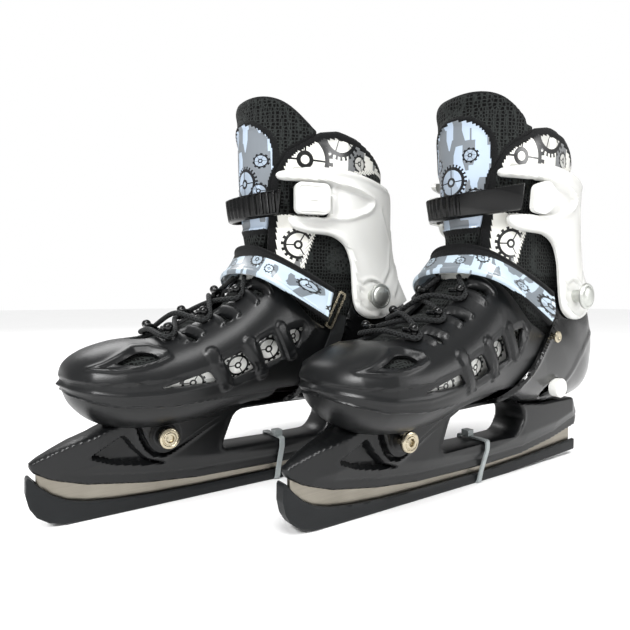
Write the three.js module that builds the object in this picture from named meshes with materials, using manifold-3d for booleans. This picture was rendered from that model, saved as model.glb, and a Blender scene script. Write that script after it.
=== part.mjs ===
// A pair of size-adjustable hockey-style ice skates, left and right, standing side by side on
// their blade guards. One skate is modelled and the other is its mirror image.
// Millimetres, +Z up, +X towards the toes, +Y towards each wearer's left.
// In one skate's own space x = 0 is the front bolt, y = 0 the blade and z = 0 the floor.
import * as THREE from 'three';
import { mergeVertices } from 'three/addons/utils/BufferGeometryUtils.js';
import Module from 'manifold-3d';

const wasm = await Module();
wasm.setup();

// ---------------------------------------------------------------- driving dimensions
const boot = {
  length: 279,        // toe tip to heel back
  toeReach: 57,       // toe tip ahead of the front bolt
  halfWidth: 44.5,    // at the ball of the foot
  toeHeight: 107,     // top of the toe cap above the floor
  shaftTop: 280,      // height to which the last is drawn
  toeBias: 4,         // the toe leans towards the inner side
  wall: 2.6,          // shell wall
};
const holderInset = 10;             // from the heel back to the rear end of the holder
const bladeUnit = { front: 73, rear: boot.toeReach - boot.length + holderInset, thickness: 3,
  slotDepth: 12 };
const holder = { noseHeight: 38, halfWidth: 12, footHalfWidth: 6.5, frontTop: 54, rearTop: 49 };
const bolt = { height: 47, shank: 3.2, headRadius: 6.5, headHeight: 3.4, clearance: 0.4 };
const lug = { radius: 10.6, halfWidth: 15.5, back: -52, top: 58 };
const holderWindow = { front: -39, rear: -126, low: 31, high: 56, corner: 7 };
const pocket = { tip: 44, high: 51, low: 28, back: -4, depth: 6 };
const guard = { wall: 2.4, frontHeight: 28, rearHeight: 12, midHeight: 8, gap: 0.5 };
const tie = { x: -86, width: 3.6, thick: 1.4, gap: 0.5, headSize: 6 };
const pivot = { height: 134, share: 0.738, pinRadius: 4.6, domeRadius: 9.2, domeHeight: 3.2 };
const cuffFit = { gap: 0.9, wall: 3.4, recess: 1.4 };
const heelFit = { gap: 0.4 };
const liner = { gap: 2.0, thick: 4.2 };
const cuffTop = 222;
const collarTop = 252;
const tongueTop = 277;
const instep = { lift: 9, thick: 2.2, width: 24, foldAheadOfPivot: 38.9, foldZ: 126, rise: 34 };
const webbing = { thick: 1.6, width: 18, low: 96 };
const ring = { wire: 1.6, depth: 7 };
const ladder = {
  lift: 8.6,          // above the last
  thick: 2.8,
  width: 17,
  ribPitch: 4.6,
  ribDepth: 0.9,
  height: 199.5,      // at the buckle, above the floor
  fall: 0.27,         // slope towards the front
};
const buckle = { width: 21, length: 25, baseHeight: 4.5, leverHeight: 7, pinRadius: 1.4,
  aheadOfPivot: 51.9 };
const anchor = { aheadOfPivot: 44.9, height: 3.2, screw: 3 };
const sizeButton = { aheadOfPivot: 11.9, z: 68, radius: 7, depth: 6.6, stand: 3.4 };
const strapRivet = { aheadOfPivot: 28.9, z: 106, radius: 4 };
const hookRow = {
  first: -1,          // x of the front hook
  pitch: 23.5,
  count: 3,
  firstY: 21.5,       // from the lacing's middle line
  stepY: -2,
  ball: 2.8,
  neck: 1.5,
  stand: 6.4,         // above the shell
};
const toeTravel = 18;              // of the toe shell, between the shortest and longest size
const laceRadius = 1.7;
const touch = 0.3;                 // gap between pieces that touch
const pairShift = [-115, 2 * boot.halfWidth]; // right skate relative to the left one
const ringPoints = 16;
const stationCount = 17;

const footX = (share) => boot.toeReach - share * boot.length;
const pivotX = footX(pivot.share);
const buckleX = pivotX + buckle.aheadOfPivot;
const anchorX = pivotX + anchor.aheadOfPivot;
const sizeButtonX = pivotX + sizeButton.aheadOfPivot;
const strapRivetX = pivotX + strapRivet.aheadOfPivot;
const strapFoldX = pivotX + instep.foldAheadOfPivot;

// ---------------------------------------------------------------- colours
const finish = {
  matteBlack: { color: 0x1c1d1f, roughness: 0.62, metalness: 0 },
  glossBlack: { color: 0x0e0f10, roughness: 0.18, metalness: 0 },
  guardBlack: { color: 0x26282a, roughness: 0.7, metalness: 0 },
  cuffWhite: { color: 0xf0f0ea, roughness: 0.25, metalness: 0 },
  steel: { color: 0xb9b6ad, roughness: 0.3, metalness: 1 },
  brassy: { color: 0xb49a72, roughness: 0.35, metalness: 1 },
  silver: { color: 0xb8bab4, roughness: 0.35, metalness: 0.7 },
  fabric: { color: 0x17181a, roughness: 0.95, metalness: 0 },
  print: { color: 0xb9c6cf, roughness: 0.35, metalness: 0 },
  greyNylon: { color: 0x7e8486, roughness: 0.4, metalness: 0 },
  foam: { color: 0x2b2c30, roughness: 0.95, metalness: 0 },
};

// ---------------------------------------------------------------- solids
function solidOf(geometry) {
  const plain = geometry.clone();
  plain.deleteAttribute('normal');
  plain.deleteAttribute('uv');
  const merged = mergeVertices(plain, 1e-4);
  return new wasm.Manifold(new wasm.Mesh({
    numProp: 3,
    vertProperties: new Float32Array(merged.attributes.position.array),
    triVerts: new Uint32Array(merged.index.array),
  }));
}

function geometryOf(solid) {
  const mesh = solid.getMesh();
  const geometry = new THREE.BufferGeometry();
  geometry.setAttribute('position', new THREE.BufferAttribute(new Float32Array(mesh.vertProperties), 3));
  geometry.setIndex(new THREE.BufferAttribute(new Uint32Array(mesh.triVerts), 1));
  return geometry;
}

function cut(solid, ...cutters) {
  return cutters.reduce((left, cutter) => left.subtract(cutter), solid);
}

function join(solid, ...others) {
  return others.reduce((sum, other) => sum.add(other), solid);
}

// Closed body through a list of rings with the same number of points.
function loft(rings) {
  const count = rings[0].length;
  const positions = rings.flat().flatMap((point) => [point.x, point.y, point.z]);
  const index = [];
  for (let ring = 0; ring + 1 < rings.length; ring += 1) {
    for (let i = 0; i < count; i += 1) {
      const a = ring * count + i;
      const b = ring * count + (i + 1) % count;
      index.push(a, b, b + count, a, b + count, a + count);
    }
  }
  const addCap = (ring, flip) => {
    const centre = new THREE.Vector3();
    rings[ring].forEach((point) => centre.add(point));
    centre.divideScalar(count);
    const tip = positions.length / 3;
    positions.push(centre.x, centre.y, centre.z);
    for (let i = 0; i < count; i += 1) {
      const a = ring * count + i;
      const b = ring * count + (i + 1) % count;
      index.push(...(flip ? [b, a, tip] : [a, b, tip]));
    }
  };
  addCap(0, true);
  addCap(rings.length - 1, false);
  const geometry = new THREE.BufferGeometry();
  geometry.setAttribute('position', new THREE.Float32BufferAttribute(positions, 3));
  geometry.setIndex(index);
  const solid = solidOf(geometry);
  return solid.volume() < 0 ? solidOf(flipped(geometry)) : solid;
}

function flipped(geometry) {
  const copy = geometry.clone();
  const index = copy.index.array;
  for (let i = 0; i < index.length; i += 3) {
    [index[i], index[i + 1]] = [index[i + 1], index[i]];
  }
  return copy;
}

function box(low, high) {
  const size = high.map((value, axis) => value - low[axis]);
  const geometry = new THREE.BoxGeometry(...size);
  geometry.translate(...low.map((value, axis) => value + size[axis] / 2));
  return solidOf(geometry);
}

// A rod along Y between two y values, centred at x, z.
function rodY(x, z, radius, yFrom, yTo, sides = 24) {
  const geometry = new THREE.CylinderGeometry(radius, radius, yTo - yFrom, sides);
  geometry.translate(x, (yFrom + yTo) / 2, z);
  return solidOf(geometry);
}

// A side-view outline, in x and z, extruded from yFrom to yTo.
function plate(shape, yFrom, yTo, curveSegments = 6) {
  const geometry = new THREE.ExtrudeGeometry(shape, { depth: yTo - yFrom, bevelEnabled: false,
    curveSegments });
  geometry.rotateX(Math.PI / 2);
  geometry.translate(0, yTo, 0);
  return solidOf(geometry);
}

function outline(points) {
  return new THREE.Shape(points.map(([x, z]) => new THREE.Vector2(x, z)));
}

// A closed outline with every corner rounded by the given radius.
function roundedOutline(points, radius) {
  const corners = points.map(([x, z]) => new THREE.Vector2(x, z));
  const shape = new THREE.Shape();
  corners.forEach((corner, i) => {
    const before = corners[(i + corners.length - 1) % corners.length];
    const after = corners[(i + 1) % corners.length];
    const reachIn = Math.min(radius, corner.distanceTo(before) / 2.2);
    const reachOut = Math.min(radius, corner.distanceTo(after) / 2.2);
    const start = corner.clone().lerp(before, reachIn / corner.distanceTo(before));
    const end = corner.clone().lerp(after, reachOut / corner.distanceTo(after));
    if (i === 0) {
      shape.moveTo(start.x, start.y);
    } else {
      shape.lineTo(start.x, start.y);
    }
    shape.quadraticCurveTo(corner.x, corner.y, end.x, end.y);
  });
  shape.closePath();
  return shape;
}

// ---------------------------------------------------------------- the last
// Stations run from the toe tip round the heel and up the shaft. Each knot joins a point on the
// instep side to a point on the sole or heel side: share of the boot length, height, half width.
function knot(topShare, topZ, soleShare, soleZ, halfWidth, nose = 0) {
  return { top: [footX(topShare), topZ], sole: [footX(soleShare), soleZ], halfWidth, nose };
}

const ballWidth = boot.halfWidth;
const toeTop = boot.toeHeight;
const heelWidth = ballWidth - 12.5;
const shaftWidth = ballWidth - 14.5;
const knots = [
  knot(0.0, toeTop - 21, 0.0, toeTop - 28, ballWidth * 0.2, 1),
  knot(0.012, toeTop - 12.5, 0.012, toeTop - 38, ballWidth * 0.45, 0.8),
  knot(0.045, toeTop - 6, 0.045, toeTop - 47, ballWidth * 0.71, 0.4),
  knot(0.105, toeTop - 0.8, 0.105, toeTop - 54, ballWidth * 0.89, 0.1),
  knot(0.185, toeTop + 2, 0.185, toeTop - 56.5, ballWidth * 0.975),
  knot(0.275, toeTop + 11, 0.275, toeTop - 55, ballWidth),
  knot(0.36, toeTop + 24, 0.375, toeTop - 50, ballWidth * 0.985),
  knot(0.415, toeTop + 37, 0.475, toeTop - 47, ballWidth * 0.945),
  knot(0.44, toeTop + 46, 0.575, toeTop - 48, ballWidth * 0.9),
  knot(0.45, toeTop + 52, 0.7, toeTop - 52.5, ballWidth * 0.83),
  knot(0.452, toeTop + 57, 0.85, toeTop - 53.5, heelWidth + 3),
  knot(0.45, toeTop + 61, 0.945, toeTop - 46, heelWidth + 1),
  knot(0.445, toeTop + 66, 0.985, toeTop - 24, heelWidth),
  knot(0.44, toeTop + 74, 0.965, toeTop + 10, heelWidth - 1.5),
  knot(0.435, toeTop + 83, 0.905, toeTop + 42, shaftWidth),
  knot(0.432, toeTop + 97, 0.872, toeTop + 72, shaftWidth + 2),
  knot(0.43, toeTop + 121, 0.865, toeTop + 104, shaftWidth + 4),
  knot(0.431, toeTop + 149, 0.85, toeTop + 134, shaftWidth + 5),
  knot(0.44, boot.shaftTop, 0.83, boot.shaftTop, shaftWidth + 6),
];

function curveOf(pick) {
  return new THREE.CatmullRomCurve3(knots.map((one) => new THREE.Vector3(...pick(one))));
}
const topCurve = curveOf((one) => [one.top[0], 0, one.top[1]]);
const soleCurve = curveOf((one) => [one.sole[0], 0, one.sole[1]]);
const sizeCurve = curveOf((one) => [one.halfWidth, one.nose, 0]);

// The sections are rounder at the sole than over the instep.
const roundTop = 2 / 2.35;
const roundSole = 2 / 2.05;

// Sideways lean of the last's centre line, towards the inner side at the toes.
function biasAt(x) {
  return -boot.toeBias * THREE.MathUtils.smoothstep(x, footX(0.5), footX(0.05));
}

// Ring of the last at station t, grown outwards by grow.
function lastRing(t, grow) {
  const top = topCurve.getPoint(t);
  const sole = soleCurve.getPoint(t);
  const size = sizeCurve.getPoint(t);
  const along = sole.clone().sub(top).normalize();
  top.addScaledVector(along, -grow);
  sole.addScaledVector(along, grow);
  const centre = top.clone().lerp(sole, 0.5);
  const half = top.distanceTo(sole) / 2;
  const ring = [];
  for (let i = 0; i < ringPoints; i += 1) {
    const angle = (i / ringPoints) * Math.PI * 2;
    const power = Math.cos(angle) < 0 ? roundSole : roundTop;
    const u = Math.sign(Math.cos(angle)) * Math.abs(Math.cos(angle)) ** power;
    const v = Math.sign(Math.sin(angle)) * Math.abs(Math.sin(angle)) ** power;
    const point = centre.clone().addScaledVector(along, -u * half);
    point.y = biasAt(top.x) + v * (size.x + grow);
    point.x += grow * size.y;
    ring.push(point);
  }
  return ring;
}

const lastCache = new Map();
function last(grow) {
  if (!lastCache.has(grow)) {
    const rings = [];
    for (let i = 0; i <= stationCount; i += 1) {
      rings.push(lastRing(i / stationCount, grow));
    }
    lastCache.set(grow, loft(rings));
  }
  return lastCache.get(grow);
}

// A layer of the last between two growths, kept inside a side-view outline.
function layer(inner, outer, region) {
  return last(outer).intersect(region).subtract(last(inner));
}
const wide = ballWidth * 2;
const sideRegion = (shape) => plate(shape, -wide, wide, 1);

// Height of a layer of the last above the skate's centre plane, on the side given by sign.
function sideY(x, z, grow) {
  return last(grow).intersect(rodY(x, z, 0.4, 0, wide, 6)).boundingBox().max[1];
}

// The furthest that a layer stands out within a round patch at x, z.
function seatY(x, z, radius, grow) {
  return last(grow).intersect(rodY(x, z, radius, 0, wide, 12)).boundingBox().max[1];
}

// Height of the top of the last at x, y.
function topZ(x, y, grow) {
  return last(grow).intersect(box([x - 0.3, y - 0.3, 70], [x + 0.3, y + 0.3,
    boot.shaftTop])).boundingBox().max[2];
}

function mirrored(solid) {
  return solid.mirror([0, 1, 0]);
}

function bothSides(solid) {
  return join(solid, mirrored(solid));
}

// A plan-view outline, in x and y, extruded upwards.
function slab(shape, zFrom, zTo) {
  const geometry = new THREE.ExtrudeGeometry(shape, { depth: zTo - zFrom, bevelEnabled: false,
    curveSegments: 6 });
  geometry.translate(0, 0, zFrom);
  return solidOf(geometry);
}

// A band of space seen from the side: it runs from point a to point b, width wide across.
function bandRegion(a, b, width) {
  const along = new THREE.Vector2(b[0] - a[0], b[1] - a[1]).normalize();
  const side = new THREE.Vector2(-along.y, along.x).multiplyScalar(width / 2);
  return sideRegion(outline([
    [a[0] + side.x, a[1] + side.y],
    [a[0] - side.x, a[1] - side.y],
    [b[0] - side.x, b[1] - side.y],
    [b[0] + side.x, b[1] + side.y],
  ]));
}

const leftHalf = box([-500, 0, -50], [500, wide, 500]);
const shellOuter = boot.wall + heelFit.gap;
const linerOuter = -boot.wall - liner.gap;
const linerInner = linerOuter - liner.thick;
const bedZ = toeTop - 40;

// ---------------------------------------------------------------- blade, holder and guard
function bladeBottom() {
  return [
    [bladeUnit.front - 2, guard.frontHeight],
    [bladeUnit.front - 6, 17],
    [bladeUnit.front - 14, 9],
    [bladeUnit.front - 25, 5],
    [bladeUnit.front - 42, bladeFloor],
    [bladeUnit.rear + 90, bladeFloor],
    [bladeUnit.rear + 4, bladeFloor + 4],
  ];
}
const guardFloor = guard.wall + tie.thick;
const bladeFloor = guardFloor + touch;

function holderBottom() {
  return [
    [bladeUnit.rear + 6, 28],
    [bladeUnit.rear + 38, 19],
    [bladeUnit.rear + 78, 13.5],
    [bladeUnit.rear + 120, 12.5],
    [bladeUnit.front - 97, 14],
    [bladeUnit.front - 63, 16.5],
    [bladeUnit.front - 29, 22],
    [bladeUnit.front - 9, 28.5],
  ];
}

function holderSide() {
  const front = bladeUnit.front;
  return outline([
    ...holderBottom(),
    [front, holder.noseHeight - 3],
    [front + 1, holder.noseHeight],
    [front - 3, holder.noseHeight + 3],
    [front - 20, holder.noseHeight + 10],
    [front - 38, holder.frontTop],
    [holderWindow.front - 11, holder.frontTop + 6],
    [holderWindow.rear + 16, holder.frontTop + 4],
    [holderWindow.rear, holder.rearTop + 4],
    [bladeUnit.rear + 16, holder.rearTop + 2],
    [bladeUnit.rear + 7, holder.rearTop - 4],
    [bladeUnit.rear - 1, holder.rearTop - 15],
  ]);
}

function holderPlan() {
  const shape = new THREE.Shape();
  const half = holder.halfWidth;
  const side = [
    [bladeUnit.front + 1, 2],
    [bladeUnit.front - 12, 7],
    [bladeUnit.front - 34, half],
    [10, half + 1],
    [holderWindow.front, half],
    [(holderWindow.front + holderWindow.rear) / 2, half - 2],
    [holderWindow.rear - 12, half + 1],
    [bladeUnit.rear + 14, half - 1],
    [bladeUnit.rear - 1, 4],
  ];
  side.forEach(([x, y], i) => (i === 0 ? shape.moveTo(x, y) : shape.lineTo(x, y)));
  side.reverse().forEach(([x, y]) => shape.lineTo(x, -y));
  shape.closePath();
  return slab(shape, 0, boot.shaftTop);
}

function holderSection() {
  const low = holder.footHalfWidth;
  const high = holder.halfWidth + 2;
  const shape = outline([[-low, 5], [low, 5], [low, 17], [high, 36], [high, 90], [-high, 90], [-high,
    36], [-low, 17]]);
  const length = bladeUnit.front - bladeUnit.rear + 40;
  const geometry = new THREE.ExtrudeGeometry(shape, { depth: length, bevelEnabled: false });
  geometry.rotateX(Math.PI / 2);
  geometry.rotateZ(Math.PI / 2);
  geometry.translate(bladeUnit.rear - 20, 0, 0);
  return solidOf(geometry);
}

function windowShape() {
  return roundedOutline([
    [holderWindow.front, holderWindow.low],
    [holderWindow.front - 11, holderWindow.high],
    [holderWindow.rear + 6, holderWindow.high],
    [holderWindow.rear - 2, holderWindow.high - 12],
    [holderWindow.rear + 6, holderWindow.low],
  ], holderWindow.corner);
}

function pocketShape() {
  return roundedOutline([
    [pocket.tip, pocket.low + 11],
    [pocket.tip - 23, pocket.high],
    [lug.radius + 7, bolt.height - 5],
    [lug.radius - 1, bolt.height - 14],
    [pocket.back, pocket.low],
    [pocket.tip - 32, pocket.low + 1.5],
    [pocket.tip - 14, pocket.low + 5],
  ], 2);
}

function lugOutline(grow, top) {
  const radius = lug.radius + grow;
  const shape = new THREE.Shape();
  shape.moveTo(17 + grow, top);
  shape.lineTo(radius + 2, bolt.height + 1);
  shape.absarc(0, bolt.height, radius, -0.25, -Math.PI * 0.66, true);
  shape.lineTo(lug.back - grow * 2, lug.top);
  shape.lineTo(lug.back - grow * 2, top);
  shape.closePath();
  return shape;
}

const webHalf = lug.halfWidth - 5.5;
function bladeHolder() {
  const slotShape = outline([...bladeBottom().reverse(), ...bladeTop().reverse()]);
  const slot = plate(slotShape, -bladeUnit.thickness / 2 - touch, bladeUnit.thickness / 2 + touch);
  const depth = holder.halfWidth - pocket.depth;
  const recess = plate(lugOutline(2 * touch, 90), webHalf, wide, 3);
  let body = plate(holderSide(), -wide, wide).intersect(holderPlan()).intersect(holderSection());
  body = cut(body, slot, plate(windowShape(), -wide, wide, 3), bothSides(plate(pocketShape(), depth,
    wide, 1)));
  body = cut(body, bothSides(recess), rodY(0, bolt.height, bolt.shank + bolt.clearance, -wide, wide, 12));
  const soleRoom = travelSteps.map((step) => last(touch).translate([step, 0, 0]));
  return cut(body, rearScrewHole(), last(shellOuter + touch), ...soleRoom);
}

function bladeTop() {
  const high = holderBottom().map(([x, z]) => [x, z + bladeUnit.slotDepth]);
  high[0] = [bladeUnit.rear + 4, high[0][1]];
  return high.slice(0, -1).concat([[bladeUnit.front - 12, 37], [bladeUnit.front - 3, 34.5]]);
}

function blade() {
  const half = bladeUnit.thickness / 2;
  const raised = bladeTop().map(([x, z]) => [x, z - touch]);
  const shape = outline([...bladeBottom().reverse().slice(0, -1), [bladeUnit.front - 2.5, 29],
    ...raised.reverse()]);
  return plate(shape, -half, half);
}

function guardOutline() {
  const front = bladeUnit.front;
  const shape = new THREE.Shape();
  shape.moveTo(front - 1, guard.frontHeight + 2);
  shape.lineTo(front + 3, guard.frontHeight);
  shape.bezierCurveTo(front + 3, 11, front - 10, 0, front - 27, 0);
  shape.lineTo(bladeUnit.rear + 90, 0);
  shape.lineTo(bladeUnit.rear - 1, 4);
  shape.lineTo(bladeUnit.rear - 1, guard.rearHeight);
  shape.lineTo(bladeUnit.rear + 60, guard.midHeight + 1);
  shape.lineTo(front - 100, guard.midHeight);
  shape.lineTo(front - 45, guard.midHeight + 2);
  shape.lineTo(front - 28, guard.midHeight + 5);
  shape.lineTo(front - 14, guard.midHeight + 11);
  shape.closePath();
  return shape;
}

function bladeGuard() {
  const half = bladeUnit.thickness / 2 + guard.gap;
  const trough = [...bladeBottom()].map(([x, z]) => [x + guard.gap, z - touch]);
  trough.unshift([trough[0][0], 60]);
  trough[trough.length - 1] = [bladeUnit.rear - 5, bladeFloor + 4 - touch];
  trough.push([bladeUnit.rear - 5, 60]);
  const groove = box([tie.x - tie.width / 2 - 0.5, -wide, -5], [tie.x + tie.width / 2 + 0.5, wide,
    tie.thick + touch]);
  return cut(plate(guardOutline(), -half - guard.wall, half + guard.wall, 10), plate(outline(trough),
    -half, half), groove);
}

// The tie loops round the guard and the lower bar of the holder, in a plane across the skate.
function guardTie() {
  const guardHalf = bladeUnit.thickness / 2 + guard.gap + guard.wall + tie.gap;
  const barHalf = holder.halfWidth + tie.gap - 0.5;
  const footHalf = holder.footHalfWidth + tie.gap;
  const loop = (grow) => {
    const half = [[guardHalf, tie.thick - grow], [footHalf, guard.midHeight + 2], [barHalf, 26],
      [barHalf, holderWindow.low + tie.gap + grow]].map(([y, z]) => [y + grow, z]);
    return [...half, ...half.map(([y, z]) => [-y, z]).reverse()];
  };
  const shape = roundedOutline(loop(tie.thick - 0.1), 2);
  shape.holes.push(roundedOutline(loop(0), 1));
  const geometry = new THREE.ExtrudeGeometry(shape, { depth: tie.width, bevelEnabled: false,
    curveSegments: 3 });
  geometry.rotateX(Math.PI / 2);
  geometry.rotateZ(Math.PI / 2);
  geometry.translate(tie.x - tie.width / 2, 0, 0);
  const top = holderWindow.low + tie.gap + tie.thick - 0.1;
  const head = box([tie.x - tie.headSize / 2, 2, top - 0.5], [tie.x + tie.headSize / 2,
    2 + tie.headSize, top + 4]);
  return join(solidOf(geometry), head);
}

// ---------------------------------------------------------------- sole plate and its fasteners
function solePlate() {
  const board = last(-boot.wall - 0.6).intersect(box([footX(0.625), -wide, bedZ - 3.6], [footX(0.13),
    wide, bedZ - touch]));
  const ears = plate(lugOutline(0, bedZ - 2), webHalf + touch, lug.halfWidth, 3);
  const bore = rodY(0, bolt.height, bolt.shank + bolt.clearance, -wide, wide, 12);
  return cut(join(cut(board, toeSweep()), bothSides(ears)), bore);
}

function hexSocket(yFrom, yTo) {
  return rodY(0, bolt.height, 2.3, yFrom, yTo, 6);
}

function boltHead(yInner) {
  const yOuter = yInner + bolt.headHeight;
  const rim = rodY(0, bolt.height, bolt.headRadius, yInner, yOuter - 0.8, 16);
  const crown = rodY(0, bolt.height, bolt.headRadius - 1, yInner, yOuter, 16);
  return cut(join(rim, crown), hexSocket(yOuter - 2, yOuter + 1));
}

function frontBolt() {
  const seat = lug.halfWidth + touch;
  return join(boltHead(seat), rodY(0, bolt.height, bolt.shank, -lug.halfWidth, seat + 0.5, 12));
}

function frontNut() {
  const seat = lug.halfWidth + touch;
  return mirrored(boltHead(seat + 0.2));
}

const screwX = footX(0.83);
const screwLow = 23 + bladeUnit.slotDepth;
function rearScrewHole() {
  return screwRod(3.4, screwLow - 2, 80);
}

function screwRod(radius, zFrom, zTo) {
  const geometry = new THREE.CylinderGeometry(radius, radius, zTo - zFrom, 16);
  geometry.rotateX(Math.PI / 2);
  geometry.translate(screwX, 0, (zFrom + zTo) / 2);
  return solidOf(geometry);
}

function rearScrew() {
  const seat = bottomZ(screwX, heelFit.gap) + 2.5;
  return join(screwRod(3, screwLow, seat + 1), screwRod(5.5, seat, seat + 3));
}

function bottomZ(x, grow) {
  return last(grow).intersect(box([x - 0.3, -0.3, 0], [x + 0.3, 0.3, 150])).boundingBox().min[2];
}

// ---------------------------------------------------------------- heel shell and size button
function heelRegion() {
  const rear = boot.toeReach - boot.length - 30;
  return sideRegion(outline([
    [footX(0.5), 40], [footX(0.512), bedZ - 7], [footX(0.53), bedZ + 7], [footX(0.56), bedZ + 18],
      [footX(0.6), bedZ + 32],
    [footX(0.645), pivot.height - 22], [pivotX + 18, pivot.height - 8], [pivotX + 15, pivot.height + 4],
    [pivotX + 8, pivot.height + 12], [pivotX - 5, pivot.height + 15], [pivotX - 22, pivot.height + 12],
    [pivotX - 34, pivot.height + 15], [rear, pivot.height + 15], [rear, 40],
  ]));
}

function heelShell() {
  const shell = layer(heelFit.gap, shellOuter, heelRegion());
  const rivetHoles = rodY(pivotX, pivot.height, pivot.pinRadius + touch, -wide, wide, 12);
  const buttonHole = rodY(sizeButtonX, sizeButton.z, sizeButton.radius + 0.4, -wide, 0, 16);
  const rivetHole = rodY(strapRivetX, strapRivet.z, strapRivet.radius / 2 + touch, -wide, 0, 12);
  return cut(shell, rivetHoles, buttonHole, rivetHole, rearScrewHole());
}

function sizeButtonBody() {
  const face = -sideY(sizeButtonX, sizeButton.z, shellOuter) - sizeButton.stand;
  const cap = rodY(sizeButtonX, sizeButton.z, sizeButton.radius, face + 0.8, face + sizeButton.depth, 16);
  const edge = rodY(sizeButtonX, sizeButton.z, sizeButton.radius - 1, face, face + sizeButton.depth, 16);
  return join(cap, edge);
}

// ---------------------------------------------------------------- toe shell, hooks and lace
const hooks = [];
for (let i = 0; i < hookRow.count; i += 1) {
  hooks.push({ x: hookRow.first - i * hookRow.pitch, y: hookRow.firstY + i * hookRow.stepY });
}

// Y of a place that stands y away from the last's own centre line on the given side.
function sideOf(x, y, side) {
  return biasAt(x) + side * y;
}

function toeRegion() {
  return sideRegion(outline([
    [boot.toeReach + 20, 20], [boot.toeReach + 20, toeTop + 20], [footX(0.2), toeTop + 40],
      [footX(0.43), toeTop + 45],
    [footX(0.455), toeTop + 40], [footX(0.548), toeTop + 11], [footX(0.652), toeTop - 3],
      [footX(0.652), 20],
  ]));
}

// What lies outside the toe shell's cavity as the shell travels forwards.
const travelSteps = [toeTravel / 2, toeTravel];
function toeSweep() {
  const outside = toeRegion().subtract(last(-boot.wall - 4 * touch));
  return join(...travelSteps.map((step) => outside.translate([step, 0, 0])));
}

// The shell's floor stops ahead of the heel shell, which slides under it.
function heelOpening() {
  return box([footX(0.652) - 2, -wide, 20], [footX(0.47), wide, bedZ + 3.5]);
}

function lacingGap() {
  const shape = new THREE.Shape();
  const front = footX(0.15);
  const lastHook = hooks[hooks.length - 1];
  const edge = [[front - 4, 8.5], [hooks[0].x - 8, hooks[0].y - 6.5], [lastHook.x, lastHook.y - 3.8],
    [footX(0.6), lastHook.y - 3]];
  shape.moveTo(front - 4, sideOf(front, -8.5, 1));
  shape.quadraticCurveTo(front + 5, biasAt(front), front - 4, sideOf(front, 8.5, 1));
  edge.slice(1).forEach(([x, y]) => shape.lineTo(x, sideOf(x, y, 1)));
  edge.slice(1).reverse().forEach(([x, y]) => shape.lineTo(x, sideOf(x, y, -1)));
  shape.closePath();
  return slab(shape, bedZ + 15, boot.shaftTop);
}

function sideWindows() {
  const z = toeTop;
  const panes = [
    [[footX(0.305), z - 12], [footX(0.352), z - 7.5], [footX(0.384), z - 20], [footX(0.33), z - 25]],
    [[footX(0.39), z - 2], [footX(0.43), z + 3], [footX(0.458), z - 13.5], [footX(0.412), z - 18]],
    [[footX(0.477), z + 4.5], [footX(0.52), z + 4], [footX(0.507), z - 3], [footX(0.497), z - 7]],
    [[footX(0.172), z - 26.3], [footX(0.272), z - 18], [footX(0.29), z - 25.3]],
  ];
  return panes.map((pane) => bothSides(plate(outline(pane), 20, wide)));
}

function toeVents() {
  const z = toeTop;
  const shape = roundedOutline([
    [footX(0.086), z - 11.2], [footX(0.133), z - 5.5], [footX(0.165), z - 5.5], [footX(0.178), z - 9],
    [footX(0.14), z - 12],
  ], 2);
  return bothSides(plate(shape, 12, wide, 1));
}

function rungSlots(side) {
  return hooks.map(({ x, y }) => {
    const centre = x - hookRow.pitch / 2;
    const corners = [[centre + 4, y + 2], [centre + 1, y + 2], [centre - 3, y + 14], [centre + 0.5,
      y + 14]];
    const shape = outline(corners.map(([cornerX, cornerY]) => [cornerX, sideOf(x, cornerY, side)]));
    return slab(shape, bedZ + 20, boot.shaftTop);
  });
}

function solePocket() {
  const back = lug.back - toeTravel - 3;
  const slot = box([back, -lug.halfWidth - 0.8, 20], [19, lug.halfWidth + 0.8, bedZ - 1]);
  const headRoom = lug.halfWidth + bolt.headHeight + 1;
  const reach = bolt.headRadius + 1;
  return join(slot, box([-reach - toeTravel, -headRoom, 20], [reach, headRoom,
    bolt.height + bolt.headRadius + 0.8]));
}

function hookHoles(side) {
  const radius = hookRow.neck + touch;
  return hooks.map(({ x, y }) => {
    const geometry = new THREE.CylinderGeometry(radius, radius, 18, 6);
    geometry.rotateX(Math.PI / 2);
    geometry.translate(x, sideOf(x, y, side), topZ(x, sideOf(x, y, side), 0));
    return solidOf(geometry);
  });
}

function toeShell() {
  const shell = layer(-boot.wall, 0, toeRegion());
  return cut(shell, lacingGap(), solePocket(), heelOpening(), ...sideWindows(), toeVents(),
    ...rungSlots(1), ...rungSlots(-1),
    ...hookHoles(1), ...hookHoles(-1));
}

// Three hooks on the strip that holds them under the shell's edge.
function hookStrip(side) {
  const lastHook = hooks[hooks.length - 1];
  const corner = (hook, dx, dy) => [hook.x + dx, sideOf(hook.x, hook.y + dy, side)];
  const plan = outline([corner(hooks[0], 4, -3), corner(hooks[0], 4, 3), corner(lastHook, -4, 3),
    corner(lastHook, -4, -3)]);
  const strip = layer(-boot.wall - 1.5, -boot.wall - touch, slab(plan, bedZ + 20, boot.shaftTop));
  const parts = hooks.map((hook) => {
    const x = hook.x;
    const y = sideOf(x, hook.y, side);
    const surface = topZ(x, y, 0);
    const stem = new THREE.CylinderGeometry(hookRow.neck, hookRow.neck, hookRow.stand + boot.wall + 1, 6);
    stem.rotateX(Math.PI / 2);
    stem.translate(x, y, surface + (hookRow.stand - boot.wall - 1) / 2);
    const ball = new THREE.SphereGeometry(hookRow.ball, 8, 6);
    ball.translate(x, y, surface + hookRow.stand + 0.8);
    return join(solidOf(stem), solidOf(ball));
  });
  return join(strip, ...parts);
}

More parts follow.
